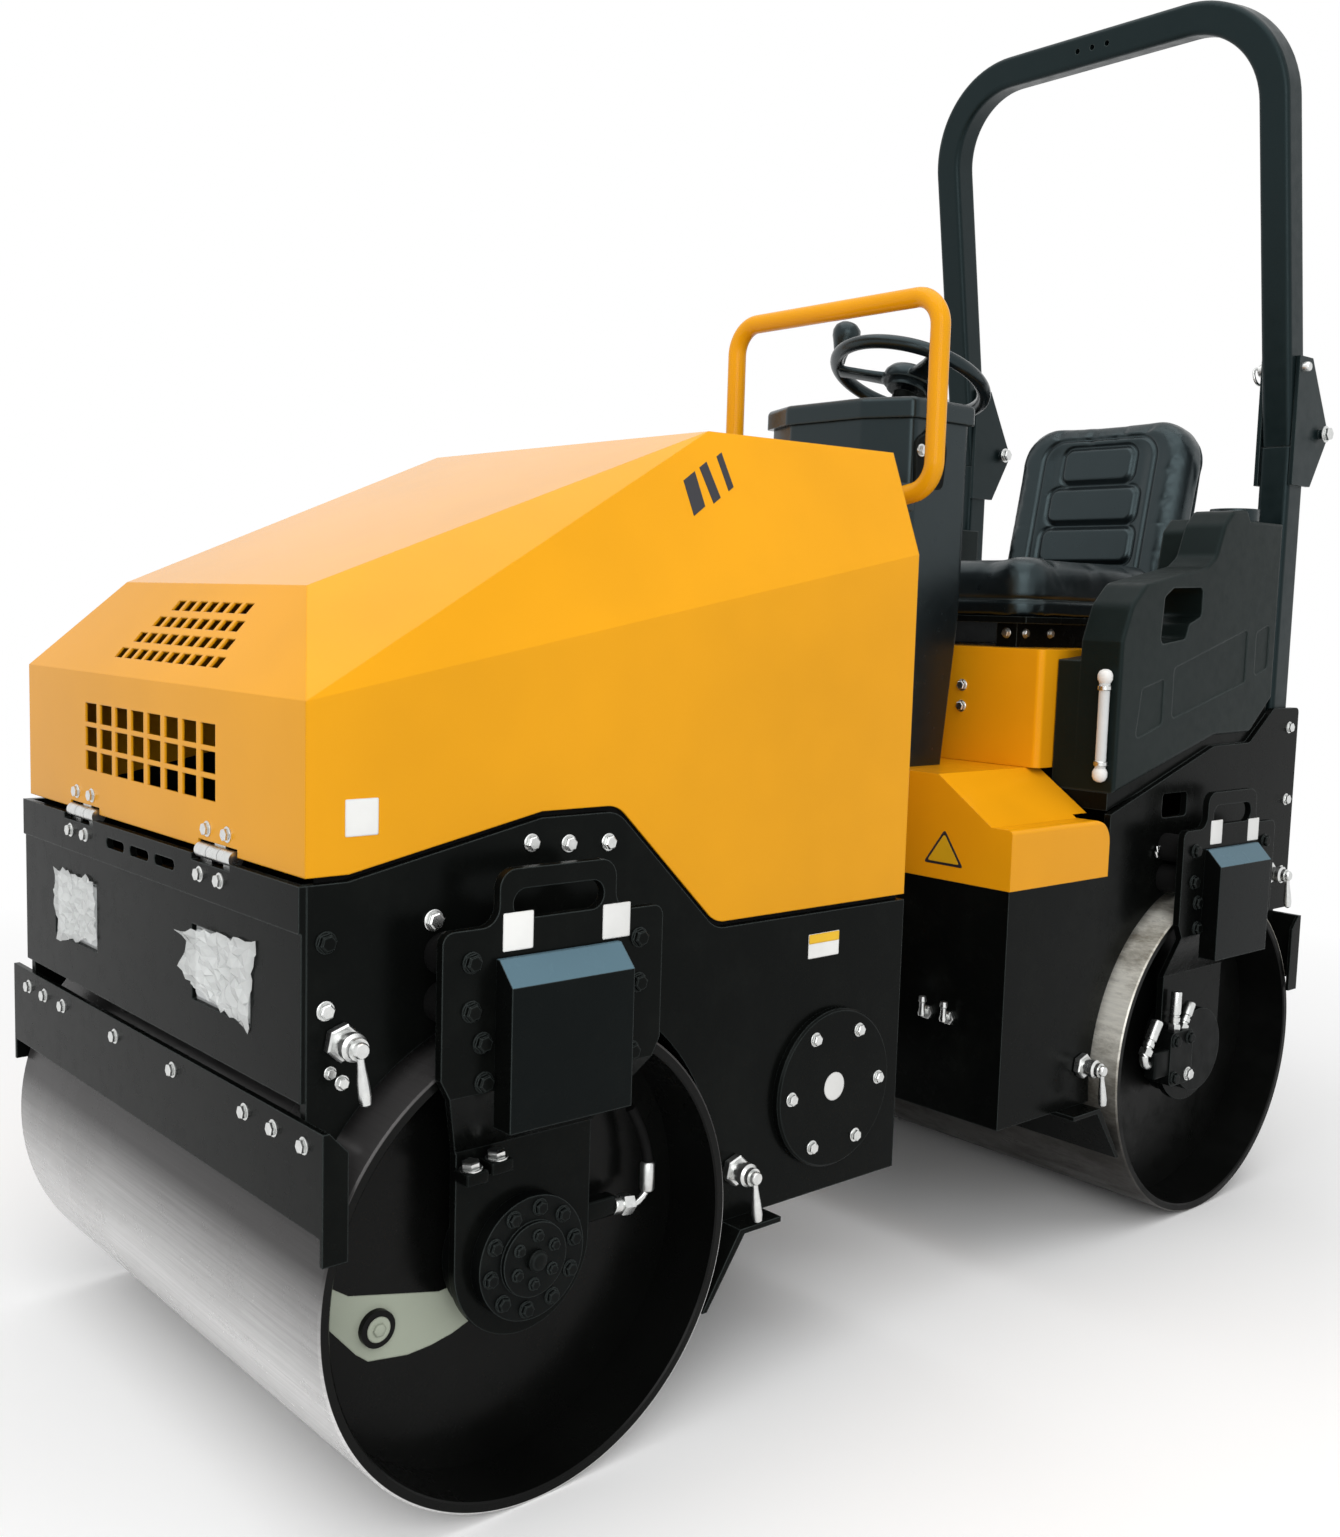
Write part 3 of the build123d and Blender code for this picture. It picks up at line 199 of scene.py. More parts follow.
EDGE = 0.0025  # the radius that sharp edges seem rounded to

# Tints of what a surface reflects
CLEAN = (1.0, 1.0, 1.0, 1.0)
SHOP = (0.90, 1.0, 0.97, 1.0)
SKY = (0.70, 0.94, 1.0, 1.0)


def shade(colour, factor):
    return tuple(min(1.0, c * factor) for c in colour)


def paint(name, colour, rough=0.3, ior=1.3, peel=0.06, spread=0.06, dust=None, dust_amount=0.0, gleam=CLEAN,
          film=None, worn=None):
    """Sprayed enamel: slight mottling, orange peel and flecks of dust.

    Film is a painted sky reflection on what faces up, and worn a painted highlight on the edges.
    """
    n = Nodes(name)
    tone = n.ramp(n.noise(3.0, 3.0), [(0.3, shade(colour, 1 - spread)), (0.7, shade(colour, 1 + spread))])
    if dust:
        fleck = n.span(n.noise(11.0, 8.0, 0.7), 0.0, dust_amount, 0.48, 0.72)
        tone = n.mix(fleck, tone, dust)
    if film:
        # Painted sky reflection: a bluish tone on faces that look up
        tone = n.mix(n.upward(0.35, 0.6), tone, film)
    if worn:
        # Painted highlight: a lighter tone on sharp edges
        tone = n.mix(n.edges(EDGE), tone, worn)
    n.wire(Base_Color=tone,
           Roughness=n.span(n.noise(40.0, 4.0), rough * 0.85, rough * 1.25),
           Normal=n.bump(n.noise(420.0, 2.0), peel, 0.0006, EDGE))
    return n.set(IOR=ior, Specular_Tint=gleam)


def plastic(name, colour, rough=0.5, grain=0.25, scale=900.0, ior=1.4, gleam=CLEAN, edge=EDGE, worn=None):
    """Moulded plastic with a fine pebble grain, scuffs, and edges rounded in the shading; worn is a painted
    highlight on the edges.
    """
    n = Nodes(name)
    tone = n.ramp(n.noise(5.0, 5.0), [(0.3, shade(colour, 0.85)), (0.7, shade(colour, 1.15))])
    scuff = n.span(n.noise(30.0, 8.0, 0.7, (1, 4, 1)), 0.0, 0.12, 0.6, 0.75)
    tone = n.mix(scuff, tone, shade(colour, 2.2))
    if worn:
        # Painted highlight: a lighter tone on sharp edges
        tone = n.mix(n.edges(edge), tone, worn)
    n.wire(Base_Color=tone,
           Roughness=n.span(n.noise(60.0, 3.0), rough * 0.9, rough * 1.15),
           Normal=n.bump(n.cells(scale), grain, 0.0005, edge))
    return n.set(IOR=ior, Specular_Tint=gleam)


def steel(name, colour, rough=0.25, stretch=(1, 60, 60), streak=0.12):
    """Plated or bare steel with fine lengthwise working marks."""
    n = Nodes(name)
    marks = n.noise(14.0, 6.0, 0.65, stretch)
    tone = n.ramp(marks, [(0.3, shade(colour, 1 - streak)), (0.7, shade(colour, 1 + streak))])
    n.wire(Base_Color=tone,
           Roughness=n.span(n.noise(24.0, 5.0), rough * 0.75, rough * 1.35),
           Normal=n.bump(marks, 0.05, 0.0004))
    return n.set(Metallic=1.0)


def rolled(name, axle, colour, rough, streak, stain, stain_amount, painted_shade):
    """A drum: turned steel on the rolling face and its edges, black enamel inside and on the end discs.

    The last argument is how much painted shade darkens the upper half at rest, or the lower half if it is
    negative.
    """
    n = Nodes(name)
    across = n.reach((0, axle, AXLE_Z), (0, 1, 1))
    bare = n.span(across, 0.0, 1.0, DRUM_R - 0.0030, DRUM_R - 0.0024)
    marks = n.noise(9.0, 8.0, 0.7, streak)
    metal = n.ramp(marks, [(0.32, shade(colour, 0.82)), (0.68, shade(colour, 1.12))])
    soil = n.span(n.noise(5.0, 10.0, 0.74, (0.7, 1.6, 1.6)), 0.0, stain_amount, 0.44, 0.6)
    metal = n.mix(soil, metal, stain)
    # Painted shade: the steel darkens with height, above the axle or below it by the sign of the amount
    height = n.add("ShaderNodeSeparateXYZ")
    n.link(n.place(), height.inputs[0])
    film = n.span(height.outputs["Z"], max(-painted_shade, 0.0), max(painted_shade, 0.0), AXLE_Z - 0.095, AXLE_Z + 0.060)
    metal = n.mix(film, metal, PAINTED_SHADE_TONE)
    dark = n.ramp(n.noise(6.0, 6.0), [(0.3, (0.0022, 0.0024, 0.0022)), (0.7, (0.0045, 0.0048, 0.0044))])
    gloss = n.span(n.noise(18.0, 5.0), rough * 0.8, rough * 1.3)
    n.wire(Base_Color=n.mix(bare, dark, metal),
           Metallic=n.span(bare, 0.0, 0.3, 0.0, 1.0),
           Roughness=n.plus(gloss, n.span(soil, 0.0, 0.25, 0.0, 1.0)),
           Normal=n.bump(marks, 0.06, 0.0005))
    return n.set(IOR=1.2)


def vinyl(name, colour):
    """Upholstery vinyl: leather-like cells with a soft sheen."""
    n = Nodes(name)
    n.wire(Base_Color=n.ramp(n.noise(8.0, 4.0), [(0.3, shade(colour, 0.8)), (0.7, shade(colour, 1.25))]),
           Roughness=n.span(n.noise(30.0, 3.0), 0.26, 0.36),
           Normal=n.bump(n.cells(520.0, "DISTANCE_TO_EDGE"), 0.3, 0.0006))
    return n.set(IOR=1.5, Specular_Tint=SKY)


def clear(name, colour, rough, alpha):
    """Thin clear plastic, with slight haze."""
    n = Nodes(name)
    n.wire(Base_Color=n.ramp(n.noise(30.0, 3.0), [(0.3, shade(colour, 0.92)), (0.7, colour)]),
           Roughness=n.span(n.noise(50.0, 3.0), rough * 0.7, rough * 1.4),
           Normal=n.bump(n.noise(90.0, 4.0), 0.15, 0.001))
    return n.set(Alpha=alpha, Specular_IOR_Level=0.8)


YELLOW = (0.80, 0.350, 0.006)
ORANGE = (0.86, 0.365, 0.006)
BLACK = (0.0030, 0.0034, 0.0031)
DUST = (0.030, 0.033, 0.028)
# Painted highlight on sharp edges, lighter than the dark finishes
EDGE_HIGHLIGHT = (0.060, 0.072, 0.070)
# The tone of the painted shade on the drums
PAINTED_SHADE_TONE = (0.030, 0.028, 0.028)
SMOOTH = {"grain": 0.02, "scale": 200.0}
MATS = {
    "yellow": paint("yellow_enamel", YELLOW, 0.12, 1.22),
    "orange": paint("orange_enamel", ORANGE, 0.16, 1.22),
    "black": paint("black_enamel", BLACK, 0.24, 1.14, peel=0.08, spread=0.25, dust=DUST, dust_amount=0.08,
                   gleam=SHOP, worn=EDGE_HIGHLIGHT),
    # The arm covers carry a painted sky reflection on their upward faces
    "cover": paint("cover_enamel", BLACK, 0.24, 1.16, peel=0.05, spread=0.25, dust=DUST, dust_amount=0.05,
                   gleam=SKY, film=(0.095, 0.165, 0.205), worn=EDGE_HIGHLIGHT),
    "frame": paint("roll_bar_coat", (0.0045, 0.0090, 0.0095), 0.34, 1.3, peel=0.2, spread=0.15,
                   dust=(0.02, 0.028, 0.028), dust_amount=0.06, gleam=SKY, worn=EDGE_HIGHLIGHT),
    "cast": paint("casting_enamel", (0.003, 0.0035, 0.0035), 0.40, 1.16, peel=0.35, spread=0.3, dust=DUST,
                  dust_amount=0.12, gleam=SHOP, worn=EDGE_HIGHLIGHT),
    "primer": paint("grey_primer", (0.42, 0.46, 0.37), 0.5, 1.3, peel=0.1, spread=0.10,
                    dust=(0.52, 0.55, 0.47), dust_amount=0.3),
    # Painted shade on the front drum's upper half, under its scraper bars, and on the rear drum's lower half
    "drum": rolled("drum_steel", F, (0.82, 0.815, 0.81), 0.22, streak=(0.5, 30, 30),
                   stain=(0.42, 0.41, 0.40), stain_amount=0.2, painted_shade=0.95),
    "worn": rolled("worn_drum_steel", R, (0.86, 0.84, 0.76), 0.3, streak=(2, 14, 14),
                   stain=(0.13, 0.105, 0.065), stain_amount=0.8, painted_shade=-0.92),
    "zinc": steel("zinc_plate", (0.66, 0.67, 0.66), 0.28, (9, 9, 9), 0.1),
    "chrome": steel("chrome_rod", (0.74, 0.75, 0.76), 0.12, (30, 4, 30), 0.04),
    "tank": plastic("tank_plastic", (0.0060, 0.0095, 0.0085), 0.40, grain=0.3, scale=700.0, ior=1.22,
                    gleam=SKY, edge=0.005, worn=EDGE_HIGHLIGHT),
    "trim": plastic("console_plastic", (0.0050, 0.0070, 0.0080), 0.24, grain=0.10, scale=900.0, ior=1.45,
                    gleam=SKY, edge=0.004, worn=EDGE_HIGHLIGHT),
    "rubber": plastic("buffer_rubber", (0.004, 0.004, 0.004), 0.7, grain=0.3, scale=500.0, ior=1.2),
    "vinyl": vinyl("seat_vinyl", (0.0055, 0.0075, 0.0085)),
    "lamp": plastic("lamp_white", (0.62, 0.64, 0.64), 0.25, **SMOOTH),
    "film": clear("wrapping_film", (0.90, 0.92, 0.91), 0.10, 0.45),
    "sticker": plastic("blank_sticker", (0.80, 0.80, 0.78), 0.35, **SMOOTH),
    "sticker_yellow": plastic("blank_yellow_sticker", (0.80, 0.47, 0.012), 0.35, **SMOOTH),
    "stripe": plastic("dark_stripe", (0.024, 0.024, 0.030), 0.35, **SMOOTH),
}

NODE_MATS = {
    "yellow": ["hood", "grab_rail"],
    "orange": ["platform", "seat_pedestal"],
    "cover": ["front_arm_covers", "rear_arm_covers"],
    "black": ["front_frame", "front_panel", "tank_cover", "front_arms", "rear_arms", "front_scraper_outer",
              "front_scraper_inner", "rear_scraper_outer", "rear_scraper_inner", "rear_frame", "seat_rails",
              "steering_column", "steering_barrel"],
    "cast": ["engine_block", "front_hubs", "rear_hubs", "centre_yoke"],
    "frame": ["rops_posts", "rops_hoop"],
    "drum": ["front_drum"],
    "worn": ["rear_drum"],
    "zinc": ["front_spray_bars", "rear_spray_bars", "pivot_pin", "hood_hinges_lower", "hood_hinges_upper"],
    "chrome": ["steering_rod"],
    "tank": ["water_tank_left", "water_tank_right"],
    "trim": ["tank_caps", "console", "console_lid", "steering_wheel"],
    "rubber": ["front_buffers", "rear_buffers"],
    "vinyl": ["seat_cushion", "seat_back"],
    "lamp": ["headlamps", "sight_tube"],
}

for key, names in NODE_MATS.items():
    for node_name in names:
        node_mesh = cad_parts[node_name].data
        node_mesh.materials.clear()
        node_mesh.materials.append(MATS[key])


# Mesh making
SHARP = math.radians(38)


class Kit:
    """Collects the pieces of one finish on one body into one mesh."""

    def __init__(self):
        self.bm = bmesh.new()

    def lathe(self, place, axis, profile, sides=20, turn=0.0):
        """Turns (radius, height) pairs about an axis through a place."""
        frame_at = Vector(axis).to_track_quat("Z", "Y").to_matrix().to_4x4()
        frame_at.translation = Vector(place)
        rings = []
        for radius, height in profile:
            ring = []
            for i in range(sides):
                angle = 2 * math.pi * (i + turn) / sides
                point = Vector((radius * math.cos(angle), radius * math.sin(angle), height))
                ring.append(self.bm.verts.new(frame_at @ point))
            rings.append(ring)
        self.skin(rings)

    def skin(self, rings):
        """Joins closed rings of points with quads and closes both ends."""
        for low, high in zip(rings, rings[1:]):
            for i in range(len(low)):
                j = (i + 1) % len(low)
                self.bm.faces.new((low[i], low[j], high[j], high[i]))
        self.bm.faces.new(list(reversed(rings[0])))
        self.bm.faces.new(rings[-1])

    def bolt(self, place, axis, size, turn=0.2):
        """A hexagon head with its washer; size is half the width across the corners."""
        way = Vector(axis).normalized()
        washer = [(size * 1.24, 0), (size * 1.24, size * 0.14), (size * 1.17, size * 0.2)]
        self.lathe(place, way, washer, 24)
        head = [(size * 0.96, 0), (size, size * 0.06), (size, size * 0.56), (size * 0.82, size * 0.7)]
        self.lathe(Vector(place) + way * size * 0.2, way, head, 6, turn)

    def block(self, low, high, round_by, matrix=None):
        """A box between two corners with rounded edges."""
        part = bmesh.new()
        bmesh.ops.create_cube(part, size=1)
        low, high = Vector(low), Vector(high)
        for v in part.verts:
            v.co = Vector(((low[k] + high[k]) / 2 + v.co[k] * (high[k] - low[k]) for k in range(3)))
        bmesh.ops.bevel(part, geom=part.edges[:], offset=round_by, segments=3, profile=0.5, affect="EDGES")
        self.take(part, matrix)

    def take(self, part, matrix=None):
        """Moves another mesh's faces into this one."""
        copies = {v: self.bm.verts.new(matrix @ v.co if matrix else v.co) for v in part.verts}
        for face in part.faces:
            self.bm.faces.new([copies[v] for v in face.verts])
        part.free()

    def tube(self, points, radius, sides=12):
        """A round bar through the points, which are set close enough for its bends."""
        rings = []
        points = [Vector(p) for p in points]
        side = Vector((0.13, 0.31, 0.94))  # a direction that no bar runs along
        for i, point in enumerate(points):
            way = (points[min(i + 1, len(points) - 1)] - points[max(i - 1, 0)]).normalized()
            u = (side - way * side.dot(way)).normalized()
            w = way.cross(u)
            ring = []
            for k in range(sides):
                angle = 2 * math.pi * k / sides
                ring.append(self.bm.verts.new(point + (u * math.cos(angle) + w * math.sin(angle)) * radius))
            rings.append(ring)
        self.skin(rings)

    def leaf(self, corners, rise, round_by=0.0):
        """A thin flat piece on a surface: corners in order, raised along their normal."""
        points = [Vector(c) for c in corners]
        normal = (points[1] - points[0]).cross(points[2] - points[0]).normalized()
        loop = []
        for i, point in enumerate(points):
            if not round_by:
                loop.append(point)
                continue
            back = (points[i - 1] - point).normalized() * round_by
            ahead = (points[(i + 1) % len(points)] - point).normalized() * round_by
            for t in (0.0, 0.3, 0.7, 1.0):
                loop.append(point + back * (1 - t) ** 2 + ahead * t ** 2)
        middle = sum(loop, Vector()) / len(loop)
        rings = []
        for height, inset in ((0.0, 0.0), (0.7, 0.0), (1.0, 0.3)):
            ring = []
            for point in loop:
                inner = point + (middle - point).normalized() * rise * inset
                ring.append(self.bm.verts.new(inner + normal * rise * height))
            rings.append(ring)
        self.skin(rings)

    def done(self, name, finish, body):
        """Puts the collected faces in the scene as one piece, riding on a body."""
        mesh = bpy.data.meshes.new(name)
        bmesh.ops.recalc_face_normals(self.bm, faces=self.bm.faces[:])
        self.bm.to_mesh(mesh)
        self.bm.free()
        mesh.shade_smooth()
        mesh.set_sharp_from_angle(angle=SHARP)
        obj = bpy.data.objects.new(name, mesh)
        bpy.context.scene.collection.objects.link(obj)
        mesh.materials.append(MATS[finish])
        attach(obj, body)
        return obj


def both(x):
    """A place on the left and its mirror image, each with the way it faces."""
    return ((x, 1), (-x, -1))


def rect(x, y, z, wide, tall, turn=1):
    """Corners of an upright rectangle on a side face at x; turn is the way it faces."""
    loop = [(-1, -1), (1, -1), (1, 1), (-1, 1)]
    corners = [(x, y + a * wide / 2, z + b * tall / 2) for a, b in loop]
    return corners if turn > 0 else corners[::-1]


# Hexagon bolts, and a wire hook on each rear side plate
FORWARD = (0, -1, 0)
HINGE_BOLTS = (-0.226, -0.174, 0.174, 0.226)
BAR_BOLTS = (-0.398, -0.335, -0.265, -0.082, 0.095, 0.286, 0.354, 0.422)
ARM_BOLTS = ((-0.118, 0.666), (-0.118, 0.612), (-0.103, 0.575), (0.118, 0.666), (0.118, 0.612),
             (0.110, 0.530), (-0.100, 0.530))
HOOK = ((-0.072, 0.667), (-0.100, 0.668), (-0.135, 0.669), (-0.148, 0.667), (-0.153, 0.660), (-0.151, 0.652),
        (-0.144, 0.650))


def side_bolts(kit, face, axle, spots, size):
    """The same bolts on both side faces; spots are (from the axle, height)."""
    for x, way in both(face):
        for y, z in spots:
            kit.bolt((x, axle + y, z), (way, 0, 0), size)


def bolt_row(kit, xs, y, z, size):
    """Bolts in a row on a face that looks forward."""
    for x in xs:
        kit.bolt((x, y, z), FORWARD, size)


def bolt_ring(kit, place, way, radius, count, start, size, twist):
    """Bolts on a circle about a place on a side face, each turned by twist from the last."""
    x, y, z = place
    for i in range(count):
        angle = math.radians(360 / count * i + start)
        spot = (x, y + radius * math.cos(angle), z + radius * math.sin(angle))
        kit.bolt(spot, (way, 0, 0), size, twist * i)


def bright_bolts():
    front = Kit()
    side_bolts(front, SIDE_X, F, ((-0.262, 0.622), (0.001, 0.780), (0.055, 0.775), (0.115, 0.772)), 0.0087)
    bolt_row(front, BAR_BOLTS, BAR_Y, 0.486, 0.0078)
    bolt_row(front, HINGE_BOLTS, LIP_Y, 0.7355, 0.0075)
    bolt_ring(front, (COVER_X, COVER_Y, COVER_Z), 1, 0.088, 6, 0, 0.0080, 0.1)
    for spot, size in (((-0.130, 0.704), 0.010), ((-0.256, 0.554), 0.006), ((-0.242, 0.541), 0.007)):
        side_bolts(front, SIDE_X, F, (spot,), size)
    for y, z in ((-0.086, 0.416), (-0.051, 0.422)):
        front.bolt((LOW_ARM_X + 0.014, F + y, z), (0, -0.1, 1), 0.011, 0.5)
    front.done("front_bolts", "zinc", "front_body")
    hood = Kit()
    bolt_row(hood, HINGE_BOLTS, FACE_Y, 0.787, 0.0075)
    hood.done("hood_bolts", "zinc", "hood")
    rear = Kit()
    side_bolts(rear, SIDE_X, R, ((0.296, 0.862), (0.302, 0.724), (0.302, 0.585)), 0.0090)
    for x, way in both(SIDE_X):
        rear.block((x - 0.001 * way, R - 0.100, 0.660), (x + 0.008 * way, R - 0.066, 0.676), 0.002)
        rear.tube([(x + 0.005 * way, R + y, z) for y, z in HOOK], 0.0032)
    for z in (0.933, 0.896):
        bolt_row(rear, (0.12, -0.12), PEDESTAL_Y, z, 0.0085)
    rear.done("rear_bolts", "zinc", "rear_body")


def black_bolts(name, axle, body, plate_spots=()):
    """Painted bolts beside each arm's cover and on the side plates."""
    kit = Kit()
    side_bolts(kit, ARM_X, axle, ARM_BOLTS, 0.010)
    side_bolts(kit, SIDE_X, axle, plate_spots, 0.010)
    kit.done(name, "black", body)


bright_bolts()
black_bolts("front_arm_bolts", F, "front_body", ((-0.262, 0.695),))
black_bolts("rear_arm_bolts", R, "rear_body")


# Hubs and drive motors
def hub_bolts(name, axle, body, motor_side):
    """Bolt rings on the plain hub, and bolts and a port block on the square motor of the other side."""
    kit = Kit()
    way = -motor_side
    bolt_ring(kit, (way * FLANGE_X, axle, AXLE_Z), way, 0.061, 10, 10, 0.0085, 0.3)
    bolt_ring(kit, (way * BOSS_X, axle, AXLE_Z), way, 0.029, 6, 25, 0.0065, 0.2)
    cap = [(0.013, 0), (0.013, 0.006), (0.010, 0.009), (0.004, 0.010)]
    kit.lathe((way * BOSS_X, axle, AXLE_Z), (way, 0, 0), cap, 24)
    middle = axle - motor_side * MOTOR_SHIFT
    for y, z in ((-0.022, -0.033), (-0.022, 0.033), (0.022, 0.033)):
        kit.bolt((motor_side * MOTOR_X, middle + motor_side * y, AXLE_Z + z), (motor_side, 0, 0), 0.0095)
    ends = sorted((middle - motor_side * 0.080, middle - motor_side * 0.034))
    depth = sorted((motor_side * (MOTOR_X - 0.024), motor_side * (MOTOR_X - 0.002)))
    kit.block((depth[0], ends[0], AXLE_Z - 0.028), (depth[1], ends[1], AXLE_Z + 0.020), 0.004)
    kit.done(name, "cast", body)


def fitting(kit, place, way, length, size):
    """A hose union: hexagon nut, collar and ferrule along one line."""
    s = size
    kit.lathe(place, way, [(s * 1.1, 0), (s * 1.15, 0.001), (s * 1.15, 0.010), (s, 0.012)], 6)
    tail = [(s * 0.7, 0.011), (s * 0.7, 0.016), (s * 0.9, 0.017), (s * 0.9, 0.024), (s * 0.75, 0.025)]
    tail += [(s * 0.75, 0.028), (s * 0.95, 0.030), (s * 0.95, length - 0.002), (s * 0.85, length)]
    kit.lathe(place, way, tail, 16)


def motor_fittings():
    """Hose unions on the left rear and right front drive motors."""
    for name, axle, side, body in (("rear_motor_fittings", R, 1, "rear_body"),
                                   ("front_motor_fittings", F, -1, "front_body")):
        kit = Kit()
        x = side * (MOTOR_X - 0.016)
        middle = axle - side * MOTOR_SHIFT

        def at(y, z):
            return (x, middle + side * y, AXLE_Z + z)

        fitting(kit, at(-0.002, 0.046), (0, side * 0.02, 1), 0.070, 0.010)
        fitting(kit, at(0.022, 0.042), (0, side * 0.5, 0.86), 0.054, 0.010)
        bend = []
        for i in range(7):
            angle = math.radians(20 * i)
            bend.append(at(-0.080 - 0.016 * math.sin(angle), -0.004 + 0.016 * (1 - math.cos(angle))))
        kit.tube(bend, 0.008)
        fitting(kit, at(-0.094, 0.016), (0, side * 0.55, 0.83), 0.066, 0.011)
        kit.bolt((side * MOTOR_X, middle + side * 0.023, AXLE_Z - 0.033), (side, 0, 0), 0.010)
        kit.done(name, "zinc", body)


hub_bolts("front_hub_bolts", F, "front_body", -1)
hub_bolts("rear_hub_bolts", R, "rear_body", 1)
motor_fittings()


# Spray valves at the left ends of the spray bars, and caps at the right
def valves(name, places, body):
    kit = Kit()
    for y, z in places:
        nut = [(0.019, 0), (0.021, 0.002), (0.021, 0.011), (0.019, 0.013)]
        kit.lathe((SIDE_X, y, z), (1, 0, 0), nut, 6, 0.3)
        stem = [(0.0135, 0.012), (0.0135, 0.022), (0.0155, 0.024), (0.0155, 0.032), (0.012, 0.035),
                (0.012, 0.041)]
        kit.lathe((SIDE_X, y, z), (1, 0, 0), stem, 20)
        pin = [(0.009, 0), (0.009, 0.007), (0.0075, 0.009)]
        kit.lathe((SIDE_X + 0.040, y, z), (1, 0, 0), pin, 16)
        handle = [(0.004, 0), (0.0042, 0.012), (0.0062, 0.030), (0.0072, 0.046), (0.006, 0.055),
                  (0.002, 0.058)]
        kit.lathe((SIDE_X + 0.043, y, z - 0.004), (0.02, 0.12, -1), handle, 14)
        cap = [(0.017, 0), (0.019, 0.002), (0.019, 0.016), (0.016, 0.019)]
        kit.lathe((-SIDE_X, y, z), (-1, 0, 0), cap, 6)
    kit.done(name, "zinc", body)


valves("front_valves", ((F - 0.245, 0.587), (F + 0.341, 0.316)), "front_body")
valves("rear_valves", ((R + 0.245, 0.587), (R - 0.341, 0.316)), "rear_body")


# Grease line on the front arm, and the lugs beside it
GREASE_X = 0.394  # clear of the turning drum's end disc


def grease_line():
    x = GREASE_X
    metal = Kit()
    down = Vector((0, 0.98, -0.16))
    foot = Vector((x, F + 0.148, 0.307))
    metal.lathe(foot, down, [(0.011, 0), (0.012, 0.001), (0.012, 0.010), (0.009, 0.012), (0.009, 0.014)], 16)
    metal.lathe(foot + down * 0.014, down, [(0.013, 0), (0.014, 0.002), (0.014, 0.016), (0.012, 0.018)], 6)
    bend = []
    for i in range(7):
        angle = math.radians(15 * i)
        bend.append((x, F + 0.178 + 0.028 * math.sin(angle), 0.299 + 0.024 * (1 - math.cos(angle))))
    metal.tube(bend, 0.005)
    sleeve = [(0.008, 0), (0.0095, 0.002), (0.0095, 0.036), (0.008, 0.038)]
    metal.lathe((x, F + 0.206, 0.313), (0, 0, 1), sleeve, 16)
    metal.done("front_grease_fitting", "zinc", "front_body")
    rise = Kit()
    steps = [i / 11 for i in range(12)]
    rise.tube([(x - 0.006 * t, F + 0.206 - 0.026 * t ** 1.7, 0.350 + 0.075 * t) for t in steps], 0.0068)
    rise.done("front_grease_pipe", "rubber", "front_body")
    lugs = Kit()
    lugs.block((LOW_ARM_X - 0.001, F - 0.100, 0.400), (LOW_ARM_X + 0.028, F - 0.070, 0.416), 0.003)
    lugs.block((LOW_ARM_X - 0.001, F - 0.066, 0.406), (LOW_ARM_X + 0.028, F - 0.036, 0.422), 0.003)
    lugs.block((x - 0.014, F + 0.086, 0.296), (x + 0.008, F + 0.150, 0.322), 0.004)
    lugs.done("front_arm_lugs", "black", "front_body")


grease_line()


# Painted reflection: a pale grey patch on the front drum's left end disc, with the drain plug in it
PAINTED_REFLECTION_PATCH = ((-0.226, 0.290), (-0.204, 0.275), (-0.084, 0.247), (-0.063, 0.249), (-0.018, 0.207), (-0.064, 0.190),
         (-0.094, 0.184), (-0.126, 0.182), (-0.178, 0.190), (-0.194, 0.203), (-0.228, 0.242))


def disc_patch():
    """The patch, and plugs on the bosses of both drums."""
    kit = Kit()
    # A thin grey leaf in the primer finish, standing for the painted reflection
    kit.leaf([(DISC_X, F + y, z) for y, z in PAINTED_REFLECTION_PATCH[::-1]], 0.0004)
    kit.done("front_disc_painted_reflection", "primer", "front_drum")
    for drum, axle in (("front_drum", F), ("rear_drum", R)):
        kit = Kit()
        for x, way in both(DISC_X + 0.008):
            spot = (x, axle - way * 0.169, AXLE_Z - 0.0615)
            rim = [(0.0150, 0), (0.0150, 0.0010), (0.0135, 0.0016), (0.0105, 0.0012)]
            kit.lathe(spot, (way, 0, 0), rim, 32)
            kit.lathe(spot, (way, 0, 0), [(0.0080, 0.001), (0.0080, 0.0035), (0.0066, 0.0042)], 6)
        kit.done(drum + "_plugs", "primer", drum)


disc_patch()


# Blank stickers and the hood's stripes
STICKER = 0.0006
OVERLAY = 0.0004
CORNER = 0.002


def arm_stickers(kit, axle, spots):
    for x, way in both(ARM_X):
        for y, z, wide, tall in spots:
            kit.leaf(rect(x, axle + y, z, wide, tall, way), STICKER, CORNER)


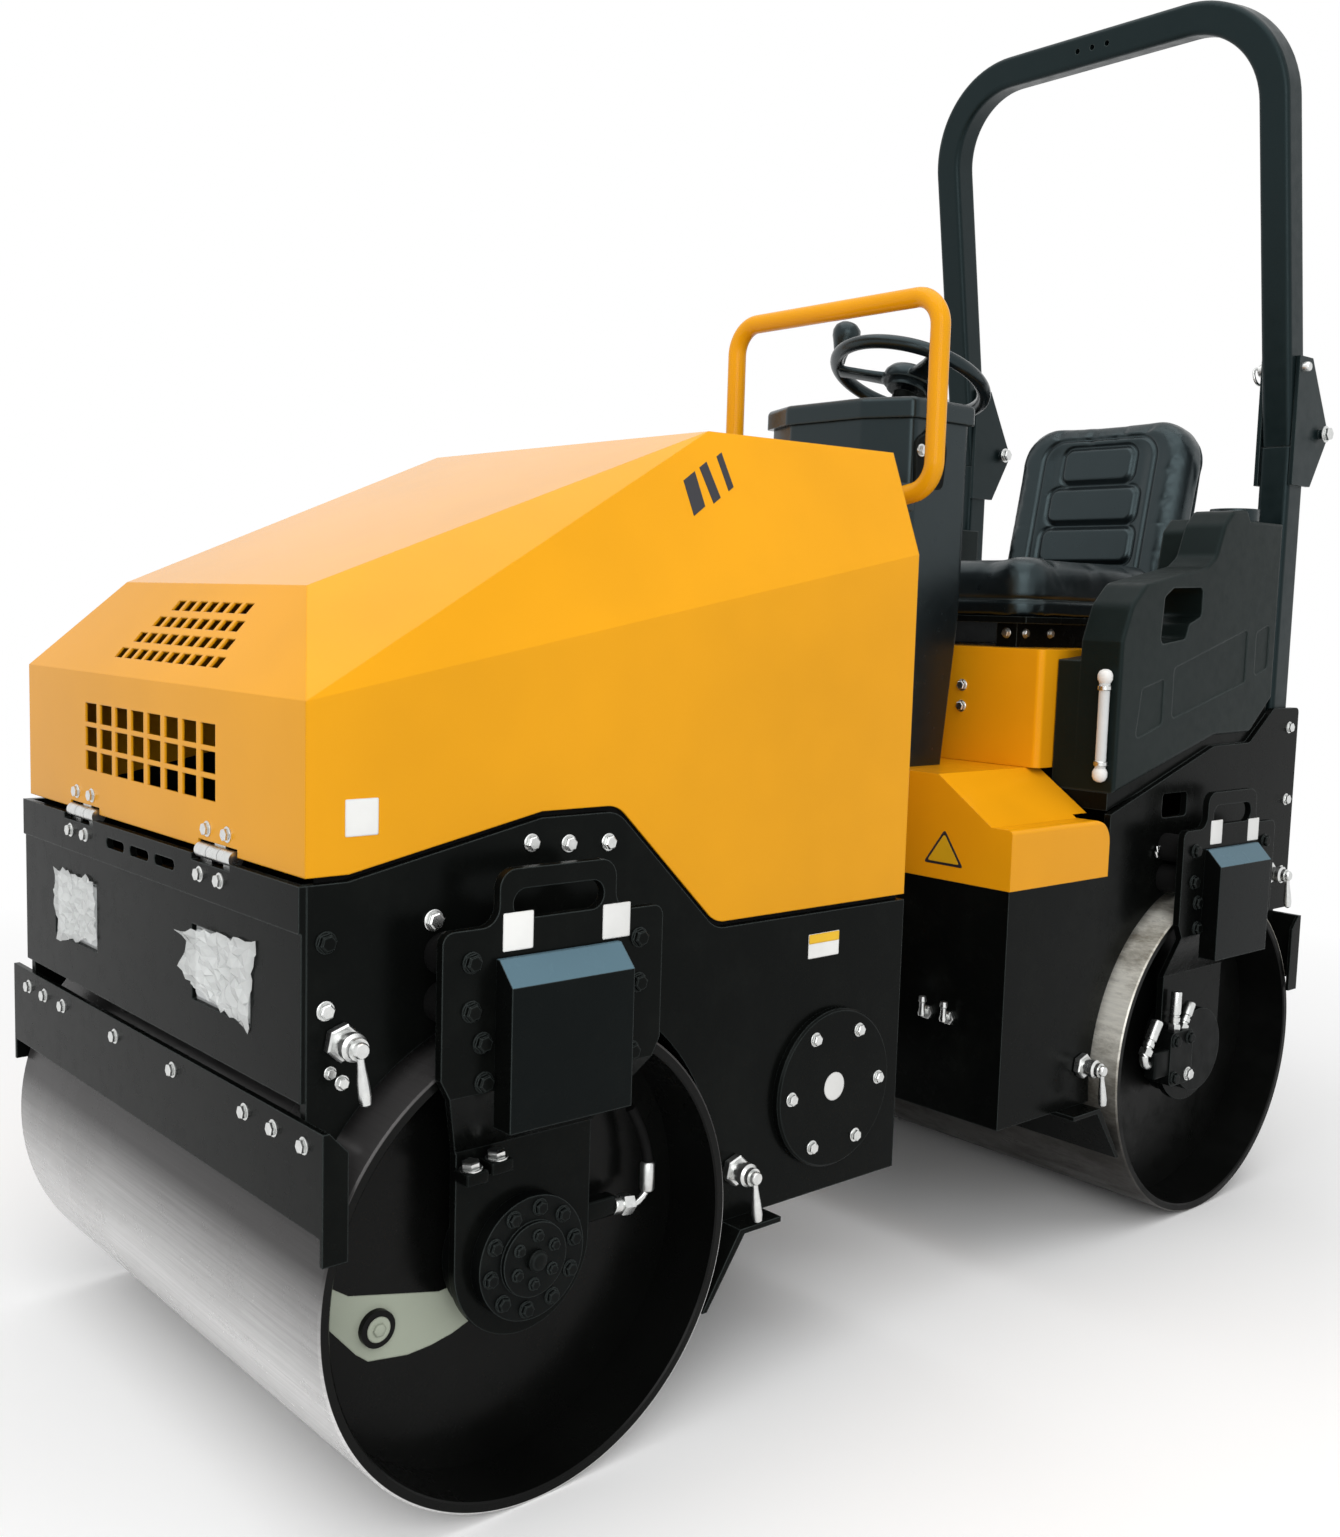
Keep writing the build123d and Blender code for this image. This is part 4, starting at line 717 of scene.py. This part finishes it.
def stickers():
    kit = Kit()
    arm_stickers(kit, F, ((-0.057, 0.694, 0.041, 0.043), (0.083, 0.690, 0.041, 0.041)))
    kit.leaf(rect(SIDE_X, F + 0.5015, 0.599, 0.061, 0.034), STICKER, CORNER)
    disc = [(0.020, 0), (0.020, 0.0005), (0.0197, 0.0008)]
    kit.lathe((COVER_X, COVER_Y - 0.003, COVER_Z + 0.003), (1, 0, 0), disc, 40)
    kit.done("front_stickers", "sticker", "front_body")
    kit = Kit()
    kit.leaf(rect(HOOD_X, F - 0.218, 0.824, 0.040, 0.040), STICKER, CORNER)
    kit.done("hood_sticker", "sticker", "hood")
    kit = Kit()
    arm_stickers(kit, R, ((-0.052, 0.694, 0.038, 0.042), (0.075, 0.690, 0.038, 0.040)))
    kit.done("rear_stickers", "sticker", "rear_body")
    kit = Kit()
    corners = [(0.240, 0.654), (0.320, 0.654), (0.280, 0.712)]
    kit.leaf([(x, PLATFORM_Y, z) for x, z in corners], OVERLAY, 0.006)
    kit.done("platform_sticker_rim", "stripe", "rear_body")
    kit = Kit()
    corners = [(0.2475, 0.6582), (0.3125, 0.6582), (0.280, 0.7048)]
    kit.leaf([(x, PLATFORM_Y - OVERLAY, z) for x, z in corners], OVERLAY, 0.005)
    kit.done("platform_sticker", "sticker_yellow", "rear_body")
    kit = Kit()
    kit.leaf(rect(SIDE_X + STICKER, F + 0.5015, 0.609, 0.060, 0.013), OVERLAY, CORNER)
    kit.done("front_sticker_band", "sticker_yellow", "front_body")


# Each bar's upper and lower front corner, and its width
BARS = (((0.275, 1.215), (0.279, 1.170), 0.022), ((0.306, 1.234), (0.316, 1.188), 0.014),
        ((0.339, 1.251), (0.346, 1.206), 0.010))
BAR_SLANT = 0.62


def stripes():
    """Three slanted bars on each of the hood's upper side facets, narrower towards the rear."""
    base = Vector((HOOD_X, FACE_Y, 0.948))
    belt = Vector((HOOD_X, F + 0.672, 1.139)) - base
    rise = Vector((HOOD_X - 0.056, F + 0.672, 1.284)) - base
    out = belt.cross(rise).normalized()
    for name, way in (("hood_stripes_left", 1), ("hood_stripes_right", -1)):
        kit = Kit()
        for (top_y, top_z), (low_y, low_z), wide in BARS:
            climb = wide * BAR_SLANT
            loop = []
            for y, z in ((low_y, low_z), (low_y + wide, low_z + climb),
                         (top_y + wide, top_z + climb), (top_y, top_z)):
                x = base.x - (out.y * (F + y - base.y) + out.z * (z - base.z)) / out.x
                loop.append((way * x, F + y, z))
            kit.leaf(loop[::way], 0.0005)
        kit.done(name, "stripe", "hood")


stickers()
stripes()


# Crumpled film left on the lamps
FILM_CELLS = (15, 12)
FILM_JITTER = 0.36
FILM_FRAY = 0.004
FILM_CREASE = 0.0065


def lamp_film(name, corners, seed, flap):
    """Film over four corners (x, z), creased into small flat facets; flap lifts its first side edge."""
    draw = random.Random(seed)
    part = bmesh.new()
    across, up = FILM_CELLS
    low_left, low_right, high_right, high_left = [Vector(c) for c in corners]
    grid = []
    for j in range(up + 1):
        row = []
        for i in range(across + 1):
            inner = 0 < i < across and 0 < j < up
            u = (i + draw.uniform(-FILM_JITTER, FILM_JITTER) * inner) / across
            v = (j + draw.uniform(-FILM_JITTER, FILM_JITTER) * inner) / up
            spot = low_left.lerp(low_right, u).lerp(high_left.lerp(high_right, u), v)
            if not inner:
                spot += Vector((draw.uniform(-FILM_FRAY, FILM_FRAY), draw.uniform(-FILM_FRAY, FILM_FRAY)))
            lift = 0.001 + draw.uniform(0.0, FILM_CREASE) * (1.0 if inner else 0.4)
            lift += flap * max(0.0, 1 - u * 2.2) * (0.6 + 0.4 * math.sin(9 * v + seed))
            row.append(part.verts.new((spot.x, PANEL_Y - lift, spot.y)))
        grid.append(row)
    for j in range(up):
        for i in range(across):
            a, b, c, d = grid[j][i], grid[j][i + 1], grid[j + 1][i + 1], grid[j + 1][i]
            for corner in ((a, b, c), (a, c, d)) if (i + j) % 2 else ((a, b, d), (b, c, d)):
                part.faces.new(corner)
    kit = Kit()
    kit.take(part)
    film = kit.done(name, "film", "front_body")
    film.data.shade_flat()
    film.modifiers.new("sheet", "SOLIDIFY").thickness = 0.0002


lamp_film("lamp_film_right", ((-0.278, 0.577), (-0.144, 0.597), (-0.151, 0.679), (-0.287, 0.676)), 3, 0.004)
lamp_film("lamp_film_left", ((0.158, 0.601), (0.292, 0.577), (0.309, 0.679), (0.136, 0.668)), 11, 0.016)


# Seat padding
LEAN = math.radians(12)
BACK_FOOT = Vector((0, CUSHION_HI.y + 0.0023, CUSHION_LO.z + 0.085 * math.sin(LEAN)))


def evaluated(obj):
    """The mesh that an object's modifiers give."""
    graph = bpy.context.evaluated_depsgraph_get()
    return bpy.data.meshes.new_from_object(obj.evaluated_get(graph))


SWELL_PRESSURE = 4
SWELL_STEPS = 20


def padding(name, node, shrink, voxel, cap):
    """A soft body swollen by cloth pressure, by up to cap, from a slightly smaller copy of a CAD solid."""
    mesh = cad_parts[node].data.copy()
    low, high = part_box(node)
    anchor = Vector(((low.x + high.x) / 2, (low.y + high.y) / 2, low.z))
    for v in mesh.vertices:
        v.co = Vector((anchor[k] + (v.co[k] - anchor[k]) * shrink[k] for k in range(3)))
    mesh.materials.clear()
    obj = bpy.data.objects.new(name, mesh)
    bpy.context.scene.collection.objects.link(obj)
    remesh = obj.modifiers.new("even", "REMESH")
    remesh.mode = "VOXEL"
    remesh.voxel_size = voxel
    obj.data = evaluated(obj)
    obj.modifiers.clear()
    before = [v.co.copy() for v in obj.data.vertices]
    cloth = obj.modifiers.new("swell", "CLOTH")
    cloth.settings.use_pressure = True
    cloth.settings.uniform_pressure_force = SWELL_PRESSURE
    cloth.settings.effector_weights.gravity = 0
    for step in range(1, SWELL_STEPS + 1):
        bpy.context.scene.frame_set(step)
    swollen = evaluated(obj)
    obj.modifiers.clear()
    bpy.context.scene.frame_set(1)
    for v, start in zip(swollen.vertices, before):
        move = v.co - start
        if move.length > cap:
            v.co = start + move.normalized() * cap
    obj.data = swollen
    obj.modifiers.new("fine", "SUBSURF").levels = 1
    obj.data = evaluated(obj)
    obj.modifiers.clear()
    return obj


def smooth_step(low, high, value):
    """Rises smoothly from 0 at low to 1 at high."""
    t = max(0.0, min(1.0, (value - low) / (high - low)))
    return t * t * (3 - 2 * t)


def pad_field(u, v, wide, tall, round_by):
    """Distance inside a rounded rectangle about the origin: positive inside."""
    dx = abs(u) - wide / 2 + round_by
    dy = abs(v) - tall / 2 + round_by
    outside = math.hypot(max(dx, 0), max(dy, 0))
    return round_by - outside - min(max(dx, dy), 0)


# The three quilted fields of the back: height of the middle, width and height
BACK_PADS = ((0.300, 0.165, 0.072), (0.217, 0.205, 0.074), (0.133, 0.215, 0.074))
BACK_SHELL = 0.058  # how far behind the back's face its moulded shell begins
CUSHION_SHELL = 0.030  # how far above its underside the cushion's shell ends
SHELL_GROOVE = 0.006


def seat_back():
    """Sinks the seams and the border into the back, and a groove where it meets its shell."""
    obj = padding("seat_back_pad", "seat_back", (0.955, 0.93, 0.975), 0.0055, 0.008)
    behind = Vector((0, math.cos(LEAN), -math.sin(LEAN)))
    along = Vector((0, math.sin(LEAN), math.cos(LEAN)))
    for v in obj.data.vertices:
        d = v.co - BACK_FOOT
        deep, high = d.dot(behind), d.dot(along)
        facing = 1 - smooth_step(0.012, 0.030, deep)
        move = 0.0
        for centre, wide, tall in BACK_PADS:
            inside = pad_field(d.x, high - centre, wide, tall, 0.020)
            move -= 0.0055 * smooth_step(0.0, 0.008, inside)
            move += 0.0040 * math.exp(-((inside + 0.003) / 0.0035) ** 2)
        border = pad_field(d.x, high - 0.19, 0.262, 0.330, 0.045)
        move += 0.0055 * math.exp(-(border / 0.0040) ** 2)
        move += 0.0060 * smooth_step(0.0, 0.03, border)
        move -= 0.0060 * smooth_step(0.0, 0.05, -border) * smooth_step(0.215, 0.17, abs(d.x))
        v.co += behind * move * facing
        groove = math.exp(-((deep - BACK_SHELL) / 0.004) ** 2)
        side = Vector((d.x, 0, 0)).normalized() if abs(d.x) > 0.15 else Vector((0, 0, 1))
        v.co -= side * SHELL_GROOVE * groove
    shell(obj, lambda c: (c - BACK_FOOT).dot(behind) > BACK_SHELL)
    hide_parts("seat_back")


def seat_cushion():
    """Shapes the bolsters, the dip, the front roll and the seams, and the groove above the shell."""
    obj = padding("seat_cushion_pad", "seat_cushion", (0.955, 0.965, 0.90), 0.0065, 0.008)
    middle = (CUSHION_LO + CUSHION_HI) / 2
    for v in obj.data.vertices:
        c = v.co
        upper = smooth_step(CUSHION_HI.z - 0.045, CUSHION_HI.z - 0.012, c.z)
        across = abs(c.x)
        ahead = c.y - CUSHION_LO.y
        bolster = smooth_step(0.120, 0.165, across)
        dip = (1 - smooth_step(0.02, 0.13, across)) * smooth_step(0.05, 0.16, ahead)
        roll = math.exp(-((ahead - 0.07) / 0.05) ** 2)
        seam = math.exp(-((across - 0.128) / 0.0045) ** 2) * smooth_step(0.09, 0.12, ahead)
        cross = math.exp(-((ahead - 0.115) / 0.0045) ** 2) * (1 - smooth_step(0.118, 0.132, across))
        c.z += upper * (0.006 * bolster - 0.014 * dip + 0.004 * roll - 0.006 * max(seam, cross))
        groove = math.exp(-((c.z - (CUSHION_LO.z + CUSHION_SHELL)) / 0.004) ** 2)
        out = Vector((c.x / 0.22, (c.y - middle.y) / 0.22, 0))
        if out.length > 0.5:
            c -= out.normalized() * SHELL_GROOVE * groove
    shell(obj, lambda c: c.z < CUSHION_LO.z + CUSHION_SHELL)
    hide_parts("seat_cushion")


def shell(obj, is_shell):
    """Gives the padding its vinyl, and the moulded shell that carries it plain plastic."""
    obj.data.materials.append(MATS["vinyl"])
    obj.data.materials.append(MATS["trim"])
    for face in obj.data.polygons:
        face.material_index = 1 if is_shell(face.center) else 0
    obj.data.shade_smooth()
    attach(obj, "rear_body")


seat_back()
seat_cushion()


# Steering wheel: boss, spokes and knob
TILT = math.radians(21)
WHEEL_AXIS = Vector((0, math.sin(TILT), math.cos(TILT)))
WHEEL_C = Vector((0, R - 0.368, 1.470))
WHEEL_R = 0.134
KNOB_TURN = math.radians(215)
SPOKE_TURNS = (90, 210, 330)
# Along a spoke: distance out, half width, half thickness
SPOKE = ((0.030, 0.020, 0.006), (0.060, 0.0165, 0.006), (0.100, 0.015, 0.0055), (0.128, 0.018, 0.006))


def wheel_trim():
    kit = Kit()
    dome = [(0.046, -0.014), (0.048, -0.006), (0.046, 0.004), (0.040, 0.012), (0.028, 0.017), (0.012, 0.019),
            (0.003, 0.0195)]
    kit.lathe(WHEEL_C, WHEEL_AXIS, dome, 40)
    u = Vector((1, 0, 0))
    w = WHEEL_AXIS.cross(u)
    spot = WHEEL_C + (u * math.cos(KNOB_TURN) + w * math.sin(KNOB_TURN)) * WHEEL_R
    pear = [(0.0125, 0.006), (0.0125, 0.016), (0.0140, 0.026), (0.0190, 0.040), (0.0240, 0.052),
            (0.0255, 0.061), (0.0235, 0.070), (0.0170, 0.077), (0.0080, 0.0805), (0.002, 0.081)]
    kit.lathe(spot, WHEEL_AXIS, pear, 28)
    for angle in SPOKE_TURNS:
        a = math.radians(angle)
        way = u * math.cos(a) + w * math.sin(a)
        flank = WHEEL_AXIS.cross(way)
        rings = []
        for at, half, thick in SPOKE:
            middle = WHEEL_C + way * at - WHEEL_AXIS * 0.006
            ring = []
            for k in range(16):
                b = 2 * math.pi * k / 16
                side = math.copysign(abs(math.cos(b)) ** 0.5, math.cos(b)) * half
                rise = math.copysign(abs(math.sin(b)) ** 0.5, math.sin(b)) * thick
                ring.append(kit.bm.verts.new(middle + flank * side + WHEEL_AXIS * rise))
            rings.append(ring)
        kit.skin(rings)
    kit.done("steering_wheel_trim", "trim", "steering_wheel")


wheel_trim()


# Console brackets, roll bar pins, sight tube ends and grease nipples
BRACKET = ((-0.540, 1.262), (-0.470, 1.262), (-0.462, 1.330), (-0.492, 1.384), (-0.518, 1.352),
           (-0.542, 1.340))
BRACKET_SHEET = 0.005


def console_brackets():
    kit = Kit()
    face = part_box("console_lid")[1].x - 0.0078
    for x, way in both(face):
        kit.leaf([(x, R + y, z) for y, z in BRACKET[::way]], BRACKET_SHEET, 0.010)
    kit.done("console_brackets", "black", "rear_body")
    kit = Kit()
    side_bolts(kit, face + BRACKET_SHEET, R, ((-0.530, 1.322),), 0.0085)
    kit.done("console_bolts", "zinc", "rear_body")


EARS_APART = 0.076  # between the outer faces of a post's two ears
LOCK_Y, LOCK_Z = R + 0.264, 1.530
LOCK_RING = 0.015


def roll_bar_pins():
    """Fold bolts and lock pins through the ears of the posts, with a ring in each pin."""
    kit = Kit()
    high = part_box("rops_posts")[1]
    ear = high.x - 0.010
    fold_y, fold_z = high.y - 0.028, AXLE_Z + 1.125
    for side in (1, -1):
        for x, way in ((side * high.x, side), (side * (ear - 0.086), -side)):
            kit.bolt((x, fold_y, fold_z), (way, 0, 0), 0.0125)
    for x in (ear - EARS_APART, -ear):
        pin = [(0.011, 0), (0.012, 0.001), (0.012, 0.008), (0.010, 0.010)]
        kit.lathe((x, LOCK_Y, LOCK_Z), (-1, 0, 0), pin, 20)
        ring = []
        for i in range(25):
            a = 2 * math.pi * i / 24
            y, z = LOCK_Y + LOCK_RING * math.sin(a), LOCK_Z - 0.010 - LOCK_RING * math.cos(a)
            ring.append((x - 0.013 + 0.003 * math.cos(a), y, z))
        kit.tube(ring, 0.0028, 10)
    for x in (ear, -ear + EARS_APART):
        kit.lathe((x, LOCK_Y, LOCK_Z), (1, 0, 0), [(0.009, 0), (0.009, 0.010), (0.007, 0.013)], 20)
    kit.done("roll_bar_pins", "zinc", "rear_body")


def sight_ends():
    """White ball ends and bright clips on the sight tube."""
    low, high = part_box("sight_tube")
    middle = (low + high) / 2
    kit = Kit()
    ball = [(0.004, -0.013), (0.0095, -0.010), (0.0125, -0.004), (0.0125, 0.004), (0.0095, 0.010),
            (0.004, 0.013)]
    for z in (low.z + 0.004, high.z - 0.004):
        kit.lathe((middle.x, middle.y, z), (0, 0, 1), ball, 20)
    kit.done("sight_tube_ends", "sticker", "rear_body")
    kit = Kit()
    clip = [(0.0105, -0.004), (0.0115, -0.003), (0.0115, 0.003), (0.0105, 0.004)]
    for z in (low.z + 0.022, high.z - 0.022):
        kit.lathe((middle.x, middle.y, z), (0, 0, 1), clip, 20)
    kit.done("sight_tube_clips", "zinc", "rear_body")


RAIL_X = 0.15


def nipples():
    """Grease nipples on the rear frame's front plate, and the bolts of the seat's rails."""
    kit = Kit()
    nut = [(0.012, 0), (0.012, 0.006), (0.009, 0.008)]
    nipple = [(0.006, 0), (0.007, 0.004), (0.005, 0.012), (0.005, 0.022), (0.007, 0.024), (0.006, 0.032)]
    for x in (0.262, 0.306):
        kit.lathe((x, REAR_PLATE_Y, 0.408), FORWARD, nut, 6)
        kit.lathe((x, REAR_PLATE_Y - 0.016, 0.404), (0, 0, 1), nipple, 16)
        kit.lathe((x, REAR_PLATE_Y - 0.006, 0.410), FORWARD, [(0.005, 0), (0.005, 0.012)], 12)
    rail_z = CUSHION_LO.z - 0.030
    side_bolts(kit, RAIL_X + 0.022, R, ((-0.225, rail_z), (-0.150, rail_z)), 0.007)
    bolt_row(kit, (-RAIL_X, RAIL_X), CUSHION_LO.y + 0.040, rail_z, 0.0075)
    kit.done("rear_fittings", "zinc", "rear_body")


console_brackets()
roll_bar_pins()
sight_ends()
nipples()


# Rubber seal inside the frame's top edge, under the hood
SILL = ((-0.268, 0.757), (-0.236, 0.757), (0.016, 0.808), (0.129, 0.808), (0.296, 0.645), (0.665, 0.645))
SEAL = 0.0035
SEAL_BELOW, SEAL_ABOVE = 0.028, 0.013


def hood_seal():
    outer = SIDE_X - 0.0125
    for name, side in (("hood_seal_left", 1), ("hood_seal_right", -1)):
        kit = Kit()
        rings = []
        for y, z in SILL:
            low, high = z - SEAL_BELOW, z + SEAL_ABOVE
            corners = ((outer - SEAL, low), (outer, low), (outer, high), (outer - SEAL, high))
            rings.append([kit.bm.verts.new((side * x, F + y, h)) for x, h in corners])
        kit.skin(rings)
        kit.done(name, "rubber", "front_body")


hood_seal()


# Engine bits seen through the grille
def engine_bits():
    kit = Kit()
    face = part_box("engine_block")[0].y
    wheel = [(0.020, 0), (0.020, 0.06), (0.075, 0.062), (0.078, 0.066), (0.070, 0.074), (0.070, 0.080),
             (0.078, 0.088), (0.075, 0.092), (0.030, 0.093), (0.028, 0.105)]
    kit.lathe((-0.04, face, 0.83), FORWARD, wheel, 40)
    small = [(0.016, 0), (0.016, 0.06), (0.040, 0.062), (0.036, 0.070), (0.036, 0.078), (0.040, 0.086),
             (0.015, 0.088)]
    for x in (0.10, -0.16):
        kit.lathe((x, face, 0.90), FORWARD, small, 32)
    kit.block((0.13, face - 0.12, 0.80), (0.20, face + 0.005, 0.86), 0.008)
    kit.done("engine_bits", "primer", "front_body")


engine_bits()


# Floor, light and camera; the camera and mirrors see floor and world as white
FLOOR_SHADES = ((0.48, 0.48, 0.48), (0.52, 0.52, 0.52))
FLOOR_FADE = (1.6, 3.4)  # where the floor fades into the background, from the middle
WORLD_LIGHT = 0.64
WHITE = (1.0, 1.0, 1.0)


def seen_rays(tree):
    """1 for what the camera sees, straight, mirrored or through film; 0 for what only lights."""
    path = tree.nodes.new("ShaderNodeLightPath")
    seen = path.outputs["Is Camera Ray"]
    for name in ("Is Glossy Ray", "Is Transmission Ray"):
        most = tree.nodes.new("ShaderNodeMath")
        most.operation = "MAXIMUM"
        tree.links.new(seen, most.inputs[0])
        tree.links.new(path.outputs[name], most.inputs[1])
        seen = most.outputs[0]
    return seen


def stage():
    bpy.ops.mesh.primitive_plane_add(size=80, location=(0, 0, 0))
    floor = bpy.context.object
    floor.name = "floor"
    n = Nodes("pale_floor")
    tone = n.ramp(n.noise(0.7, 2.0), list(zip((0.3, 0.7), FLOOR_SHADES)))
    n.wire(Base_Color=n.mix(seen_rays(n.tree), tone, WHITE))
    n.set(Roughness=0.9, Specular_IOR_Level=0.0)
    glow = n.add("ShaderNodeEmission", Strength=1.0)
    far = n.span(n.reach((0.0, 0.0, 0.0)), 0.0, 1.0, *FLOOR_FADE)
    blend = n.add("ShaderNodeMixShader")
    n.link(far, blend.inputs["Fac"])
    n.link(n.bsdf.outputs[0], blend.inputs[1])
    n.link(glow.outputs[0], blend.inputs[2])
    n.link(blend.outputs[0], n.tree.nodes["Material Output"].inputs["Surface"])
    floor.data.materials.append(n.mat)


def sky():
    world = bpy.data.worlds.new("studio")
    bpy.context.scene.world = world
    world.use_nodes = True
    tree = world.node_tree
    level = tree.nodes.new("ShaderNodeMapRange")
    level.inputs["To Min"].default_value = WORLD_LIGHT
    level.inputs["To Max"].default_value = 1.0
    tree.links.new(seen_rays(tree), level.inputs["Value"])
    back = tree.nodes["Background"]
    back.inputs["Color"].default_value = (*WHITE, 1)
    tree.links.new(level.outputs["Result"], back.inputs["Strength"])


def area_light(name, place, aim, size, power):
    data = bpy.data.lights.new(name, "AREA")
    data.shape = "RECTANGLE"
    data.size, data.size_y = size
    data.energy = power
    lamp = bpy.data.objects.new(name, data)
    bpy.context.scene.collection.objects.link(lamp)
    lamp.location = place
    lamp.rotation_euler = (Vector(aim) - Vector(place)).to_track_quat("-Z", "Y").to_euler()


# The camera fitted to the photograph
FOCAL_PX = 1541.9625
FRAME_PX = (1340, 1537)
SENSOR = 36
CAM_PLACE = Vector((1.8324, F - 1.0423, 1.0533))
CAM_RIGHT = Vector((0.658337, 0.752161, 0.029089))
CAM_UP = Vector((-0.096895, 0.046358, 0.994214))
CAM_BACK = Vector((0.746461, -0.657346, 0.1034))


def camera():
    data = bpy.data.cameras.new("camera")
    cam = bpy.data.objects.new("camera", data)
    bpy.context.scene.collection.objects.link(cam)
    data.sensor_width = SENSOR
    data.lens = SENSOR * FOCAL_PX / max(FRAME_PX)
    turn = Matrix((CAM_RIGHT, CAM_UP, CAM_BACK)).transposed()
    cam.matrix_world = Matrix.Translation(CAM_PLACE) @ turn.to_4x4()
    bpy.context.scene.camera = cam


stage()
sky()
area_light("sky_panel", (0.4, -0.6, 5.0), (0, 0, 0.6), (5, 5), 110)
area_light("fill_panel", (3.4, -2.6, 2.4), (0, 0.2, 0.8), (3, 3), 68)
camera()

bpy.context.scene.view_settings.view_transform = "Standard"
